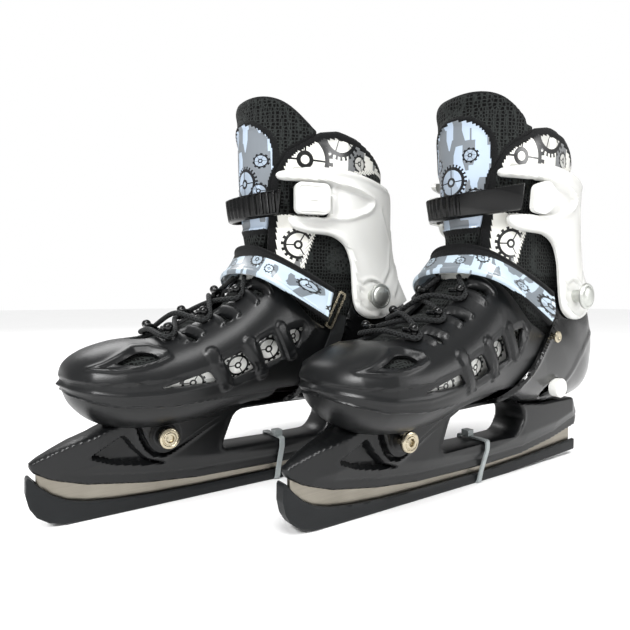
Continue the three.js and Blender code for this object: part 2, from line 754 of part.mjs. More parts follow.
// The lace runs from hook to hook and crosses itself twice over the tongue.
function lacePath() {
  const reach = hookRow.neck + laceRadius + 0.9;
  const over = (x, y, lift) => new THREE.Vector3(x, y, topZ(x, y, 0) + laceRadius + lift);
  const round = (i, side, way) => {
    const { x, y } = hooks[i];
    const turn = (degrees) => {
      const angle = THREE.MathUtils.degToRad(degrees);
      return over(x - way * reach * Math.cos(angle), sideOf(x, y + reach * Math.sin(angle), side), 1.2);
    };
    return [10, 50, 90, 130, 170].map(turn);
  };
  const middle = (x, lift) => over(x, biasAt(x), lift);
  const gapX = (i) => hooks[i].x - hookRow.pitch / 2;
  const tail = (side) => {
    const x = hooks[2].x - 11;
    return over(x, sideOf(x, 8, side), 2);
  };
  const low = 1.6;
  const high = 2 * laceRadius + 2.6;
  return new THREE.CatmullRomCurve3([
    tail(1), ...round(2, 1, 1), middle(gapX(1), low), ...round(1, -1, 1), middle(gapX(0), low),
      ...round(0, 1, 1),
    middle(hooks[0].x + 5, low), ...round(0, -1, -1), middle(gapX(0), high), ...round(1, 1, -1),
      middle(gapX(1), high),
    ...round(2, -1, -1), tail(-1),
  ], false, 'centripetal');
}

function tube(path, radius, sides, steps) {
  const section = new THREE.Shape();
  for (let i = 0; i < sides; i += 1) {
    const angle = (i / sides) * Math.PI * 2;
    const x = radius * Math.cos(angle);
    const y = radius * Math.sin(angle);
    if (i === 0) {
      section.moveTo(x, y);
    } else {
      section.lineTo(x, y);
    }
  }
  section.closePath();
  return new THREE.ExtrudeGeometry(section, { steps, bevelEnabled: false, extrudePath: path });
}

function lace() {
  return solidOf(tube(lacePath(), laceRadius, 6, 58));
}

// ---------------------------------------------------------------- liner, insole and tongue
const linerSplit = pivot.height + 14;

function linerFoot() {
  const above = box([-500, -wide, bedZ], [500, wide, linerSplit]);
  const room = last(linerInner).intersect(box([-500, -wide, bedZ + liner.thick], [500, wide, 500]));
  const { z, radius } = sizeButton;
  const buttonRoom = rodY(sizeButtonX, z, radius + 1, -wide, -sideY(sizeButtonX, z, linerInner) - 1.5, 16);
  return cut(last(linerOuter).intersect(above), room, buttonRoom, toeSweep());
}

function insole() {
  const low = bedZ + liner.thick + touch;
  return last(linerInner - touch).intersect(box([-500, -wide, low], [500, wide, low + 3]));
}

function collarRegion() {
  const front = footX(0.462);
  const rise = Math.tan(0.2);
  return sideRegion(outline([
    [front, linerSplit + 1 + (front - pivotX) * rise], [front + 2, cuffTop - 7], [front - 6,
      cuffTop + 11], [front - 20, collarTop - 10],
    [front - 33, collarTop - 3], [front - 48, collarTop], [front - 66, collarTop - 3], [front - 85,
      collarTop - 10],
    [front - 104, collarTop - 20], [front - 150, collarTop - 20], [front - 150, linerSplit + 1],
      [pivotX, linerSplit + 1],
  ]));
}

function linerCollar() {
  const shell = layer(linerOuter, -0.2, collarRegion());
  return cut(shell, rodY(pivotX, pivot.height, pivot.pinRadius + 18, -wide, wide, 16));
}

function tongueRegion() {
  const front = footX(0.462) + touch;
  const rise = Math.tan(0.2);
  return sideRegion(outline([
    [front + 40, linerSplit + 12 + (front - pivotX) * rise], [front + 40, tongueTop - 14], [front + 8,
      tongueTop - 5], [front - 4, tongueTop],
    [front - 22, tongueTop - 1], [front - 36, tongueTop - 8], [front - 46, tongueTop - 19],
      [front - 47, collarTop + 0.6],
    [front - 33, collarTop - 2], [front - 19, collarTop - 9], [front - 5, cuffTop + 12], [front + 2.4,
      cuffTop - 7],
    [front + 0.4, linerSplit + 12 + (front - pivotX) * rise],
  ]));
}

function tongue() {
  return layer(-5.5, 1.5, tongueRegion());
}

// ---------------------------------------------------------------- cuff and pivots
const cuffInner = shellOuter + cuffFit.gap;
const cuffOuter = cuffInner + cuffFit.wall;
const armTip = footX(0.44);

function cuffRegion() {
  const far = boot.toeReach - boot.length - 40;
  return sideRegion(roundedOutline([
    [armTip, eyeHigh], [armTip, cuffTop - 8], [armTip - 13, cuffTop - 4], [armTip - 34, cuffTop],
      [armTip - 56, cuffTop + 1],
    [armTip - 76, cuffTop - 1], [armTip - 104, cuffTop - 5], [armTip - 121, cuffTop - 12], [far,
      cuffTop - 14],
    [far, pivot.height - 4], [pivotX - 44, pivot.height - 2], [pivotX - 24, pivot.height - 9],
      [pivotX - 10, pivot.height - 16],
    [pivotX + 4, pivot.height - 17], [pivotX + 14, pivot.height - 12], [pivotX + 17, pivot.height - 4],
    [pivotX + 17, pivot.height + 22], [pivotX + 22, cuffTop - 52], [pivotX + 33, cuffTop - 45.5],
    [armTip - 17, cuffTop - 45], [armTip - 9, cuffTop - 42], [armTip - 6, eyeLow],
    [buckleBack, eyeLow], [buckleBack, eyeHigh], [armTip - 10, eyeHigh],
  ], 3));
}
const buckleBack = buckleX - buckle.length / 2 - 3;
const eyeLow = ladder.height - buckle.width / 2 - 1;
const eyeHigh = ladder.height + buckle.width / 2 + 2;

function eyeRecess() {
  const shape = roundedOutline([
    [buckleBack + 12, eyeHigh], [buckleBack - 22, eyeHigh - 3], [buckleBack - 38, ladder.height + 5],
    [buckleBack - 32, ladder.height - 2], [buckleBack - 14, eyeLow + 2], [buckleBack + 12, eyeLow],
  ], 4);
  return cut(plate(shape, -wide, wide, 4), last(cuffOuter - cuffFit.recess));
}

function backWindow() {
  const low = pivot.height + 20;
  const shape = outline([[-8, low], [8, low], [15, low + 9], [13, low + 22], [7, low + 29], [-7,
    low + 29], [-13, low + 22], [-15, low + 9]]);
  const geometry = new THREE.ExtrudeGeometry(shape, { depth: 60, bevelEnabled: false });
  geometry.rotateX(Math.PI / 2);
  geometry.rotateZ(Math.PI / 2);
  geometry.translate(boot.toeReach - boot.length - 10, 0, 0);
  return solidOf(geometry);
}

function cuff() {
  const shell = layer(cuffInner, cuffOuter, cuffRegion());
  const pinHoles = rodY(pivotX, pivot.height, pivot.pinRadius + touch, -wide, wide, 12);
  const anchorHole = rodY(anchorX, ladder.height, 2 + touch, -wide, 0, 12);
  return cut(shell, eyeRecess(), backWindow(), pinHoles, anchorHole);
}

// A domed rivet through cuff and heel shell, on the left side of the skate.
function pivotRivet() {
  const face = seatY(pivotX, pivot.height, pivot.domeRadius + 1, cuffOuter) + 2 * touch;
  const inner = sideY(pivotX, pivot.height, heelFit.gap) - 1;
  const profile = [
    [0, inner], [pivot.pinRadius, inner], [pivot.pinRadius, face], [pivot.domeRadius, face],
      [pivot.domeRadius, face + 1],
    [pivot.domeRadius * 0.8, face + pivot.domeHeight * 0.7], [pivot.domeRadius * 0.45,
      face + pivot.domeHeight * 0.95],
    [0, face + pivot.domeHeight],
  ].map(([radius, y]) => new THREE.Vector2(radius, y));
  const geometry = new THREE.LatheGeometry(profile, 16);
  geometry.translate(pivotX, 0, pivot.height);
  return solidOf(geometry);
}

// ---------------------------------------------------------------- buckle and ladder strap
const buckleSeat = 1.6;             // lift of the buckle's floor from the last, over the collar
const buckleSpan = [buckle.length / 2 + 2, -buckle.length / 2].map((dx) => sideY(buckleX + dx,
  ladder.height, buckleSeat));
const buckleTilt = THREE.MathUtils.radToDeg(Math.atan2(buckleSpan[1] - buckleSpan[0], buckle.length + 2));
const buckleBulge = sideY(buckleX, ladder.height, buckleSeat) - (buckleSpan[0] + buckleSpan[1]) / 2;
const buckleY = (buckleSpan[0] + buckleSpan[1]) / 2 + Math.max(buckleBulge, 0) + touch;

// Places a solid built round the buckle's own middle, with +Y outwards, on the cuff.
function atBuckle(solid) {
  return solid.rotate([0, 0, -buckleTilt]).translate([buckleX, buckleY, ladder.height]);
}

function buckleBase() {
  const half = buckle.width / 2;
  const back = buckle.length / 2;
  const floor = box([-back, 0, -half + 1], [back + 2, buckle.baseHeight, half - 1]);
  const channel = box([-back - 1, buckle.baseHeight - 3.2, -ladder.width / 2 - 1], [back + 3, 30,
    ladder.width / 2 + 1]);
  const ear = buckle.pinRadius + 1.2;
  const post = box([pinX - ear, 0, half - 1.9], [pinX + ear, pinY, half - 0.4]);
  const eye = leverRod(ear, half - 0.4).subtract(leverRod(ear + 1, half - 1.9));
  const cheek = join(post, eye.trimByPlane([0, 0, 1], 0));
  const cheeks = join(cheek, cheek.mirror([0, 0, 1]));
  const pinBore = leverRod(buckle.pinRadius + 0.2, half + 5);
  return atBuckle(cut(join(cut(floor, channel), cheeks), pinBore));
}

const pinX = buckle.length / 2 - 5;
const pinY = buckle.baseHeight + 2.6;
function leverRod(radius, half) {
  const geometry = new THREE.CylinderGeometry(radius, radius, half * 2, 12);
  geometry.rotateX(Math.PI / 2);
  geometry.translate(pinX, pinY, 0);
  return solidOf(geometry);
}

function buckleLever() {
  const half = buckle.width / 2;
  const cap = new THREE.Shape();
  const low = buckle.baseHeight + touch;
  const high = low + buckle.leverHeight;
  const back = -buckle.length / 2;
  cap.moveTo(back + 1, low);
  cap.lineTo(back, high - 4);
  cap.quadraticCurveTo(back + 0.5, high, back + 5, high);
  cap.lineTo(pinX + 1, high + 0.6);
  cap.quadraticCurveTo(pinX + 4, high, pinX + 3.6, pinY);
  cap.lineTo(pinX + 2, low + 0.4);
  cap.closePath();
  const geometry = new THREE.ExtrudeGeometry(cap, { depth: 2 * half, bevelEnabled: false,
    curveSegments: 5 });
  geometry.translate(0, 0, -half);
  const body = solidOf(geometry);
  const hollow = box([back + 3, 0, -half + 3], [pinX - 3, high - 1.6, half - 3]);
  const slots = box([pinX - 5, 0, half - 2.4], [pinX + 9, pinY + 2.9, half + 1]);
  return atBuckle(cut(body, hollow, slots, slots.mirror([0, 0, 1]), leverRod(buckle.pinRadius + 0.2, 40)));
}

function leverPin() {
  return atBuckle(leverRod(buckle.pinRadius, buckle.width / 2 - 0.1));
}

// The ladder strap lies in a sloping slice that falls towards the front.
function strapSlice(width) {
  const far = 200;
  const half = width / 2;
  const at = (x, side) => [x, ladder.height - (x - buckleX) * ladder.fall + side * half];
  return sideRegion(outline([at(buckleX - far, -1), at(footX(0) , -1), at(footX(0), 1),
    at(buckleX - far, 1)]));
}

function ladderStrap() {
  const front = buckleX + buckle.length / 2 + 3.4;
  const ahead = box([front, -wide, 100], [200, wide, 300]);
  const medial = box([anchorX + 12, -wide, 100], [200, 0, 300]);
  const band = layer(ladder.lift, ladder.lift + ladder.thick, strapSlice(ladder.width));
  const ribs = [];
  for (let y = -6; y < buckleY - 8; y += ladder.ribPitch) {
    ribs.push(cut(box([front + 8, y, 100], [200, y + ladder.ribPitch / 3, 300]),
      last(ladder.lift + ladder.thick - ladder.ribDepth)));
  }
  return cut(band.intersect(join(ahead, medial)), ...ribs);
}

function strapAnchor() {
  const face = -sideY(anchorX, ladder.height, cuffOuter) - touch;
  const plan = roundedOutline([
    [anchorX - 18, ladder.height + 2], [anchorX - 4, ladder.height + 12], [anchorX + 9, ladder.height + 8],
    [anchorX + 9, ladder.height - 9], [anchorX - 4, ladder.height - 11],
  ], 4);
  const pad = plate(plan, -wide, 0,
    3).intersect(last(cuffOuter + touch + anchor.height)).subtract(last(cuffOuter + touch));
  const stud = rodY(anchorX, ladder.height, 2, face, face + cuffFit.wall + touch, 12);
  const screw = rodY(anchorX, ladder.height, anchor.screw, face - anchor.height - 1, face, 12);
  return join(pad, screw, stud);
}

// ---------------------------------------------------------------- instep strap
const strapTop = [footX(0.37), instep.foldZ + instep.rise];
const strapLow = [strapFoldX, instep.foldZ];
const strapWay = new THREE.Vector2(strapTop[0] - strapLow[0], strapTop[1] - strapLow[1]).normalize();

function strapPoint(distance, side = 0) {
  return [
    strapLow[0] + strapWay.x * distance - strapWay.y * side,
    strapLow[1] + strapWay.y * distance + strapWay.x * side,
  ];
}

function instepStrap() {
  const slice = bandRegion(strapPoint(-60), strapPoint(150), instep.width);
  const band = layer(instep.lift, instep.lift + instep.thick, slice);
  const lateral = bandRegion(strapPoint(0), strapPoint(150), 60).intersect(leftHalf);
  const medial = bandRegion(strapPoint(-8), strapPoint(150), 60).intersect(mirrored(leftHalf));
  return band.intersect(join(lateral, medial));
}

function strapWebbing() {
  const start = strapPoint(-ring.depth - touch);
  const low = [footX(0.585), webbing.low];
  const slice = bandRegion(low, start, webbing.width);
  const band = layer(shellOuter + touch, shellOuter + touch + webbing.thick, slice).intersect(leftHalf);
  return cut(band, bandRegion(strapPoint(-ring.depth - touch), strapPoint(80), wide));
}

function strapRing() {
  const half = instep.width / 2 + 2;
  const frame = roundedOutline([strapPoint(-ring.depth, -half), strapPoint(-touch, -half),
    strapPoint(-touch, half),
    strapPoint(-ring.depth, half)], 2);
  const inset = ring.wire;
  frame.holes.push(roundedOutline([strapPoint(-ring.depth + inset, -half + inset),
    strapPoint(-touch - inset, -half + inset),
    strapPoint(-touch - inset, half - inset), strapPoint(-ring.depth + inset, half - inset)], 1));
  const y = sideY(strapFoldX, instep.foldZ, shellOuter + touch + webbing.thick) + 1.5;
  return plate(frame, y, y + ring.wire, 3);
}

function strapRivetBody() {
  const face = -seatY(strapRivetX, strapRivet.z, strapRivet.radius, shellOuter) - touch;
  const inner = -sideY(strapRivetX, strapRivet.z, heelFit.gap) - touch;
  const head = rodY(strapRivetX, strapRivet.z, strapRivet.radius, face - 1.6, face, 16);
  return join(head, rodY(strapRivetX, strapRivet.z, strapRivet.radius / 2, face - 1, inner, 12));
}

// ---------------------------------------------------------------- assembly
const pieces = [
  ['blade_holder', bladeHolder(), finish.matteBlack],
  ['blade', blade(), finish.steel],
  ['blade_guard', bladeGuard(), finish.guardBlack],
  ['guard_tie', guardTie(), finish.greyNylon],
  ['sole_plate', solePlate(), finish.matteBlack],
  ['front_bolt', frontBolt(), finish.brassy],
  ['front_nut', frontNut(), finish.brassy],
  ['rear_screw', rearScrew(), finish.steel],
  ['heel_shell', heelShell(), finish.glossBlack],
  ['size_button', sizeButtonBody(), finish.cuffWhite],
  ['strap_rivet', strapRivetBody(), finish.brassy],
  ['toe_shell', toeShell(), finish.matteBlack],
  ['lateral_hooks', hookStrip(1), finish.glossBlack],
  ['medial_hooks', hookStrip(-1), finish.glossBlack],
  ['lace', lace(), finish.fabric],
  ['liner_foot', linerFoot(), finish.foam],
  ['insole', insole(), finish.foam],
  ['liner_collar', linerCollar(), finish.print],
  ['tongue', tongue(), finish.fabric],
  ['cuff', cuff(), finish.cuffWhite],
  ['lateral_pivot_rivet', pivotRivet(), finish.silver],
  ['medial_pivot_rivet', mirrored(pivotRivet()), finish.silver],
  ['buckle_base', buckleBase(), finish.glossBlack],
  ['buckle_lever', buckleLever(), finish.cuffWhite],
  ['lever_pin', leverPin(), finish.steel],
  ['ladder_strap', ladderStrap(), finish.glossBlack],
  ['strap_anchor', strapAnchor(), finish.cuffWhite],
  ['instep_strap', instepStrap(), finish.print],
  ['strap_webbing', strapWebbing(), finish.fabric],
  ['strap_ring', strapRing(), finish.brassy],
];

function skate(side) {
  const group = new THREE.Group();
  pieces.forEach(([name, solid, look]) => {
    const shape = side === 'left' ? solid : mirrored(solid);
    const mesh = new THREE.Mesh(geometryOf(shape), new THREE.MeshStandardMaterial(look));
    mesh.name = `${side}_${name}`;
    group.add(mesh);
  });
  return group;
}

const pair = new THREE.Group();
const left = skate('left');
const right = skate('right');
right.position.set(pairShift[0], pairShift[1], 0);
pair.add(left, right);
const bounds = new THREE.Box3().setFromObject(pair);
const middle = bounds.getCenter(new THREE.Vector3());
pair.position.set(-middle.x, -middle.y, -bounds.min.z);

export default pair;
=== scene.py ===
# A pair of size-adjustable ice skates: smooth mouldings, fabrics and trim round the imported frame.
import math

import bmesh
import bpy
import numpy as np
from mathutils import Matrix, Vector


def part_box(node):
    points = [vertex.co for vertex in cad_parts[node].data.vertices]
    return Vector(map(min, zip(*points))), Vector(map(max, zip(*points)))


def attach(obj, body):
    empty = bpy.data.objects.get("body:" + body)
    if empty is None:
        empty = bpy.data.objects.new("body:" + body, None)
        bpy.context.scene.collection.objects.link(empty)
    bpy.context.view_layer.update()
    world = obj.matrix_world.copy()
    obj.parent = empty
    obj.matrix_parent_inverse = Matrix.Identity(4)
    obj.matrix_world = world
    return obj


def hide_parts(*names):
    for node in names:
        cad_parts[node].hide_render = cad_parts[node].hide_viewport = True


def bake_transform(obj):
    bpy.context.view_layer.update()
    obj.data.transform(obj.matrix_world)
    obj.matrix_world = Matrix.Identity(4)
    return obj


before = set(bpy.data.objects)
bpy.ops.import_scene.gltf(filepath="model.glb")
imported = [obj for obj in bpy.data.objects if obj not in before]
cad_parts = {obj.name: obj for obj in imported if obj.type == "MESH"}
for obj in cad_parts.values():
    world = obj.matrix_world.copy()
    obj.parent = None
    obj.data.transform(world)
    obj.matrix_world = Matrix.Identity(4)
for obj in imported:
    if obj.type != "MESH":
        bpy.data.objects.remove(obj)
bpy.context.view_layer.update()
bpy.ops.object.select_all(action="DESELECT")

MM = 0.001
BLADE_FRONT = 70.5                    # front end of the steel ahead of the front bolt, mm


def skate_places():
    """Where each skate's own zero lies in the row frame, in mm, and which way its y axis runs."""
    places = {}
    for side, mirror in (("left", 1), ("right", -1)):
        low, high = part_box(f"{side}_blade")
        places[side] = (high.x / MM - BLADE_FRONT, (low.y + high.y) / 2 / MM, mirror)
    return places


PLACES = skate_places()

# Side-view places on one skate, x ahead of the front bolt and z above the floor, mm
BOLT_HEIGHT = 47
PIVOT = (-148.9, 134)
SIZE_BUTTON = (-137, 68)
STRAP_STUD = (-120, 106)
STRAP_LOW = np.array([-110.0, 126.0])
LADDER_X, LADDER_HEIGHT = -97, 199.5

# How far each layer's outer face stands off the last, mm
HEEL_LIFT = 3.0
CUFF_LIFT = 7.0
STRAP_LIFT = 10.6
LADDER_LIFT = 11.0
BUCKLE_LIFT = 1.6
LINER_LIFT = -4.9

# ---------------------------------------------------------------- camera
camera_data = bpy.data.cameras.new("camera")
camera_data.lens = 30.1
camera_data.sensor_width = 36
camera = bpy.data.objects.new("camera", camera_data)
bpy.context.scene.collection.objects.link(camera)
camera.location = (0.2351, 0.2922, 0.133)
camera.rotation_euler = Vector((-0.5637, -0.8253, -0.0332)).to_track_quat("-Z", "Y").to_euler()
bpy.context.scene.camera = camera

# ---------------------------------------------------------------- shader tools


def linear(hex_colour):
    """An sRGB hex colour as linear red, green, blue and alpha."""
    channels = [int(hex_colour[i:i + 2], 16) / 255 for i in (1, 3, 5)]
    curve = [c / 12.92 if c <= 0.04045 else ((c + 0.055) / 1.055) ** 2.4 for c in channels]
    return (*curve, 1.0)


def add(material, kind, settings=None, **links):
    """A shader node with its properties set, and each named input linked to a socket or given a value."""
    node = material.node_tree.nodes.new(kind)
    for key, value in (settings or {}).items():
        setattr(node, key, value)
    for key, value in links.items():
        name = key.replace("_", " ")
        socket = node.inputs[int(name[1:])] if name[0] == "i" and name[1:].isdigit() else node.inputs[name]
        if isinstance(value, bpy.types.NodeSocket):
            material.node_tree.links.new(value, socket)
        else:
            socket.default_value = value
    return node


def surface(name, base, roughness, metallic=0.0, **sockets):
    """A new material whose shader has these even values."""
    material = bpy.data.materials.new(name)
    material.use_nodes = True
    shader = material.node_tree.nodes["Principled BSDF"]
    shader.inputs["Base Color"].default_value = linear(base)
    shader.inputs["Roughness"].default_value = roughness
    shader.inputs["Metallic"].default_value = metallic
    for key, value in sockets.items():
        shader.inputs[key.replace("_", " ")].default_value = value
    return material, shader


def wire(material, socket, target):
    material.node_tree.links.new(socket, target)


def maths(material, operation, a, b=0.0, clamp=False):
    return add(material, "ShaderNodeMath", {"operation": operation, "use_clamp": clamp}, i0=a,
               i1=b).outputs[0]


def mixed(material, share, a, b):
    node = add(material, "ShaderNodeMix", {"data_type": "RGBA"}, i0=share, i6=a, i7=b)
    return node.outputs[2]


def grain(material, scale, detail=3.0, coordinate="Object"):
    where = add(material, "ShaderNodeTexCoord").outputs[coordinate]
    return add(material, "ShaderNodeTexNoise", {}, Vector=where, Scale=scale, Detail=detail).outputs["Fac"]


def pressed(material, shader, height, strength, distance):
    node = add(material, "ShaderNodeBump", {}, Strength=strength, Distance=distance, Height=height)
    wire(material, node.outputs[0], shader.inputs["Normal"])


# ---------------------------------------------------------------- materials
def matte_polypropylene():
    # Polypropylene from an etched mould: dark grey-black, with a fine grit of 0.6 mm that breaks the gloss.
    material, shader = surface("matte_polypropylene", "#0e0f10", 0.36, Specular_IOR_Level=0.36)
    grit = grain(material, 1600)
    cloud = grain(material, 45, 4)
    wire(material, mixed(material, cloud, linear("#0a0b0c"), linear("#131415")),
         shader.inputs["Base Color"])
    rough = add(material, "ShaderNodeMapRange", {}, Value=grit, To_Min=0.27, To_Max=0.42).outputs[0]
    wire(material, rough, shader.inputs["Roughness"])
    pressed(material, shader, grit, 0.16, 0.0004)
    return material


def gloss_abs():
    # ABS from a polished mould: deep black with sharp reflections and a few fine handling scuffs.
    material, shader = surface("gloss_abs", "#060607", 0.15, Specular_IOR_Level=0.35, Coat_Weight=0.08,
                               Coat_Roughness=0.06)
    scuff = grain(material, 90, 6)
    rough = add(material, "ShaderNodeMapRange", {}, Value=scuff, To_Min=0.1, To_Max=0.3).outputs[0]
    wire(material, rough, shader.inputs["Roughness"])
    wire(material, mixed(material, scuff, linear("#040405"), linear("#0a0b0b")),
         shader.inputs["Base Color"])
    return material


def white_nylon():
    # White nylon from a polished mould: a soft gloss, faintly warm, with light under the skin.
    material, shader = surface("white_nylon", "#dcdcd8", 0.24, Subsurface_Weight=0.08,
                               Subsurface_Scale=0.004)
    shader.inputs["Subsurface Radius"].default_value = (1.0, 0.9, 0.75)
    cloud = grain(material, 30, 3)
    wire(material, mixed(material, cloud, linear("#d6d6d2"), linear("#e1e1de")),
         shader.inputs["Base Color"])
    rough = add(material, "ShaderNodeMapRange", {}, Value=cloud, To_Min=0.18, To_Max=0.3).outputs[0]
    wire(material, rough, shader.inputs["Roughness"])
    return material


def ground_steel():
    # Stainless strip, ground along its length: fine lines 0.3 mm apart and a slightly warm grey.
    material, shader = surface("ground_steel", "#8f897e", 0.34, 1.0, Anisotropic=0.5)
    where = add(material, "ShaderNodeTexCoord").outputs["Object"]
    along = add(material, "ShaderNodeMapping", {}, Vector=where, Scale=(25, 600, 2600)).outputs[0]
    lines = add(material, "ShaderNodeTexNoise", {}, Vector=along, Scale=1.0, Detail=4.0).outputs["Fac"]
    cloud = grain(material, 28, 4)
    shade = mixed(material, cloud, linear("#7b766c"), linear("#b0aa9e"))
    wire(material, mixed(material, maths(material, "MULTIPLY", lines, 0.35), shade, linear("#5b574f")),
         shader.inputs["Base Color"])
    rough = add(material, "ShaderNodeMapRange", {}, Value=lines, To_Min=0.26, To_Max=0.48).outputs[0]
    wire(material, rough, shader.inputs["Roughness"])
    pressed(material, shader, lines, 0.12, 0.0002)
    return material


def zinc_plate(name, base, dark, roughness):
    # Plated steel: bright metal with a faint yellow passivation that thickens in blotches.
    material, shader = surface(name, base, roughness, 1.0)
    cloud = grain(material, 380, 4)
    wire(material, mixed(material, cloud, linear(base), linear(dark)), shader.inputs["Base Color"])
    rough = add(material, "ShaderNodeMapRange", {}, Value=cloud, To_Min=roughness - 0.08,
                To_Max=roughness + 0.12)
    wire(material, rough.outputs[0], shader.inputs["Roughness"])
    return material


def extruded_pvc():
    # Soft PVC guard strip: charcoal, dull, with faint lines drawn along it by the die.
    material, shader = surface("extruded_pvc", "#2a2c2e", 0.5, Specular_IOR_Level=0.25)
    where = add(material, "ShaderNodeTexCoord").outputs["Object"]
    along = add(material, "ShaderNodeMapping", {}, Vector=where, Scale=(12, 500, 700)).outputs[0]
    lines = add(material, "ShaderNodeTexNoise", {}, Vector=along, Scale=1.0, Detail=3.0).outputs["Fac"]
    cloud = grain(material, 60, 5)
    wire(material, mixed(material, cloud, linear("#0f1112"), linear("#1a1c1e")),
         shader.inputs["Base Color"])
    rough = add(material, "ShaderNodeMapRange", {}, Value=lines, To_Min=0.4, To_Max=0.62).outputs[0]
    wire(material, rough, shader.inputs["Roughness"])
    pressed(material, shader, lines, 0.12, 0.0003)
    return material


def grey_nylon_tie():
    # Unfilled nylon cable tie: milky grey, half clear, with a soft gloss.
    material, shader = surface("grey_nylon_tie", "#8d9496", 0.32, Transmission_Weight=0.25, IOR=1.53)
    cloud = grain(material, 300, 2)
    wire(material, mixed(material, cloud, linear("#9aa2a3"), linear("#b4bbbb")),
         shader.inputs["Base Color"])
    return material


def knit_painted_light_and_height(material, where, cell, low, high):
    """Spacer mesh: raised loops round small holes, cell metres apart. The loop tops are painted lighter as
    painted highlight and the holes near black as painted shade. Gives its colour and height.
    """
    loops = add(material, "ShaderNodeTexVoronoi", {"feature": "DISTANCE_TO_EDGE"}, Vector=where,
                Scale=1 / cell,
                Randomness=0.35).outputs["Distance"]
    ridge = add(material, "ShaderNodeMapRange", {}, Value=loops, From_Min=0.02, From_Max=0.32, To_Min=1.0,
                To_Max=0.0).outputs[0]
    fibre = add(material, "ShaderNodeTexNoise", {}, Vector=where, Scale=2.4 / cell,
                Detail=5.0).outputs["Fac"]
    height = maths(material, "ADD", maths(material, "MULTIPLY", ridge, 0.7),
                   maths(material, "MULTIPLY", fibre, 0.5))
    # Higher loops get the lighter colour: painted highlight on the loops and painted shade in the holes.
    share = add(material, "ShaderNodeMapRange", {}, Value=height, From_Min=0.45, From_Max=1.0).outputs[0]
    return mixed(material, share, linear(low), linear(high)), height


def spacer_mesh():
    # Black polyester spacer mesh: 2.4 mm loops over holes, with painted grey highlight on the raised loops
    # and painted shade in the holes.
    material, shader = surface("spacer_mesh", "#101112", 0.85, Specular_IOR_Level=0.1, Sheen_Weight=0.04,
                               Sheen_Roughness=0.5)
    where = add(material, "ShaderNodeTexCoord").outputs["Object"]
    # 020202 is painted shade in the holes and #2c2f2e is painted highlight on the raised loops.
    colour, height = knit_painted_light_and_height(material, where, 0.0024, "#020202", "#2c2f2e")
    wire(material, colour, shader.inputs["Base Color"])
    pressed(material, shader, height, 0.9, 0.0009)
    return material


def brushed_binding():
    # Brushed polyester binding tape: black, matt and slightly fuzzy, 0.9 mm pile.
    material, shader = surface("brushed_binding", "#0f1011", 0.9, Specular_IOR_Level=0.1,
                               Sheen_Weight=0.05, Sheen_Roughness=0.6)
    pile = grain(material, 1100, 5)
    wire(material, mixed(material, pile, linear("#030303"), linear("#1b1c1d")), shader.inputs["Base Color"])
    pressed(material, shader, pile, 0.7, 0.0006)
    return material


def woven_webbing():
    # Woven polypropylene webbing: ribs 1.6 mm apart crossed by finer threads.
    material, shader = surface("woven_webbing", "#0c0d0e", 0.6, Specular_IOR_Level=0.15, Sheen_Weight=0.04)
    where = add(material, "ShaderNodeTexCoord").outputs["UV"]
    parts = add(material, "ShaderNodeSeparateXYZ", {}, Vector=where).outputs
    across = maths(material, "SINE", maths(material, "MULTIPLY", parts[0], 2 * math.pi / 0.0016))
    down = maths(material, "SINE", maths(material, "MULTIPLY", parts[1], 2 * math.pi / 0.0016))
    weave = maths(material, "MULTIPLY", across, down)
    share = add(material, "ShaderNodeMapRange", {}, Value=weave, From_Min=-1.0, From_Max=1.0).outputs[0]
    wire(material, mixed(material, share, linear("#060606"), linear("#242627")),
         shader.inputs["Base Color"])
    pressed(material, shader, share, 0.8, 0.0005)
    return material


def braided_lace():
    # Round braided polyester lace: strands cross at 45 degrees, 1.5 mm apart along the cord.
    material, shader = surface("braided_lace", "#0e0f10", 0.65, Specular_IOR_Level=0.2, Sheen_Weight=0.05)
    where = add(material, "ShaderNodeTexCoord").outputs["UV"]
    parts = add(material, "ShaderNodeSeparateXYZ", {}, Vector=where).outputs
    turn = maths(material, "MULTIPLY", parts[0], 2 * math.pi * 4)
    run = maths(material, "MULTIPLY", parts[1], 2 * math.pi / 0.003)
    one = maths(material, "SINE", maths(material, "ADD", turn, run))
    two = maths(material, "SINE", maths(material, "SUBTRACT", turn, run))
    strand = maths(material, "MAXIMUM", one, two)
    share = add(material, "ShaderNodeMapRange", {}, Value=strand, From_Min=-0.2, From_Max=1.0).outputs[0]
    wire(material, mixed(material, share, linear("#030303"), linear("#222425")),
         shader.inputs["Base Color"])
    pressed(material, shader, share, 0.9, 0.0006)
    return material


def ring_of_teeth(material, parts, centre, radius, teeth, spokes):
    """A drawn cog: 1 on its rim, teeth, hub and spokes, and 0 elsewhere, on the flat pattern's metres."""
    dx = maths(material, "SUBTRACT", parts[0], centre[0])
    dy = maths(material, "SUBTRACT", parts[1], centre[1])
    far = maths(material, "SQRT", maths(material, "ADD", maths(material, "MULTIPLY", dx, dx),
                                        maths(material, "MULTIPLY", dy, dy)))
    angle = maths(material, "ARCTAN2", dy, dx)
    tooth = maths(material, "GREATER_THAN", maths(material, "SINE",
                                                  maths(material, "MULTIPLY", angle, teeth)), 0.0)
    edge = maths(material, "ADD", radius, maths(material, "MULTIPLY", tooth, radius * 0.16))
    disc = maths(material, "LESS_THAN", far, edge)
    hollow = maths(material, "LESS_THAN", far, radius * 0.8)
    rim = maths(material, "SUBTRACT", disc, hollow, True)
    hub = maths(material, "LESS_THAN", maths(material, "ABSOLUTE",
                                             maths(material, "SUBTRACT", far, radius * 0.24)),
                radius * 0.08)
    arm = maths(material, "ABSOLUTE", maths(material, "SINE",
                                            maths(material, "MULTIPLY", angle, spokes / 2)))
    spoke = maths(material, "LESS_THAN", maths(material, "MULTIPLY", arm, far), radius * 0.07)
    between = maths(material, "GREATER_THAN", far, radius * 0.24)
    spoke = maths(material, "MULTIPLY", maths(material, "MULTIPLY", spoke, between), hollow)
    drawn = maths(material, "MAXIMUM", maths(material, "MAXIMUM", rim, hub), spoke)
    return drawn, disc


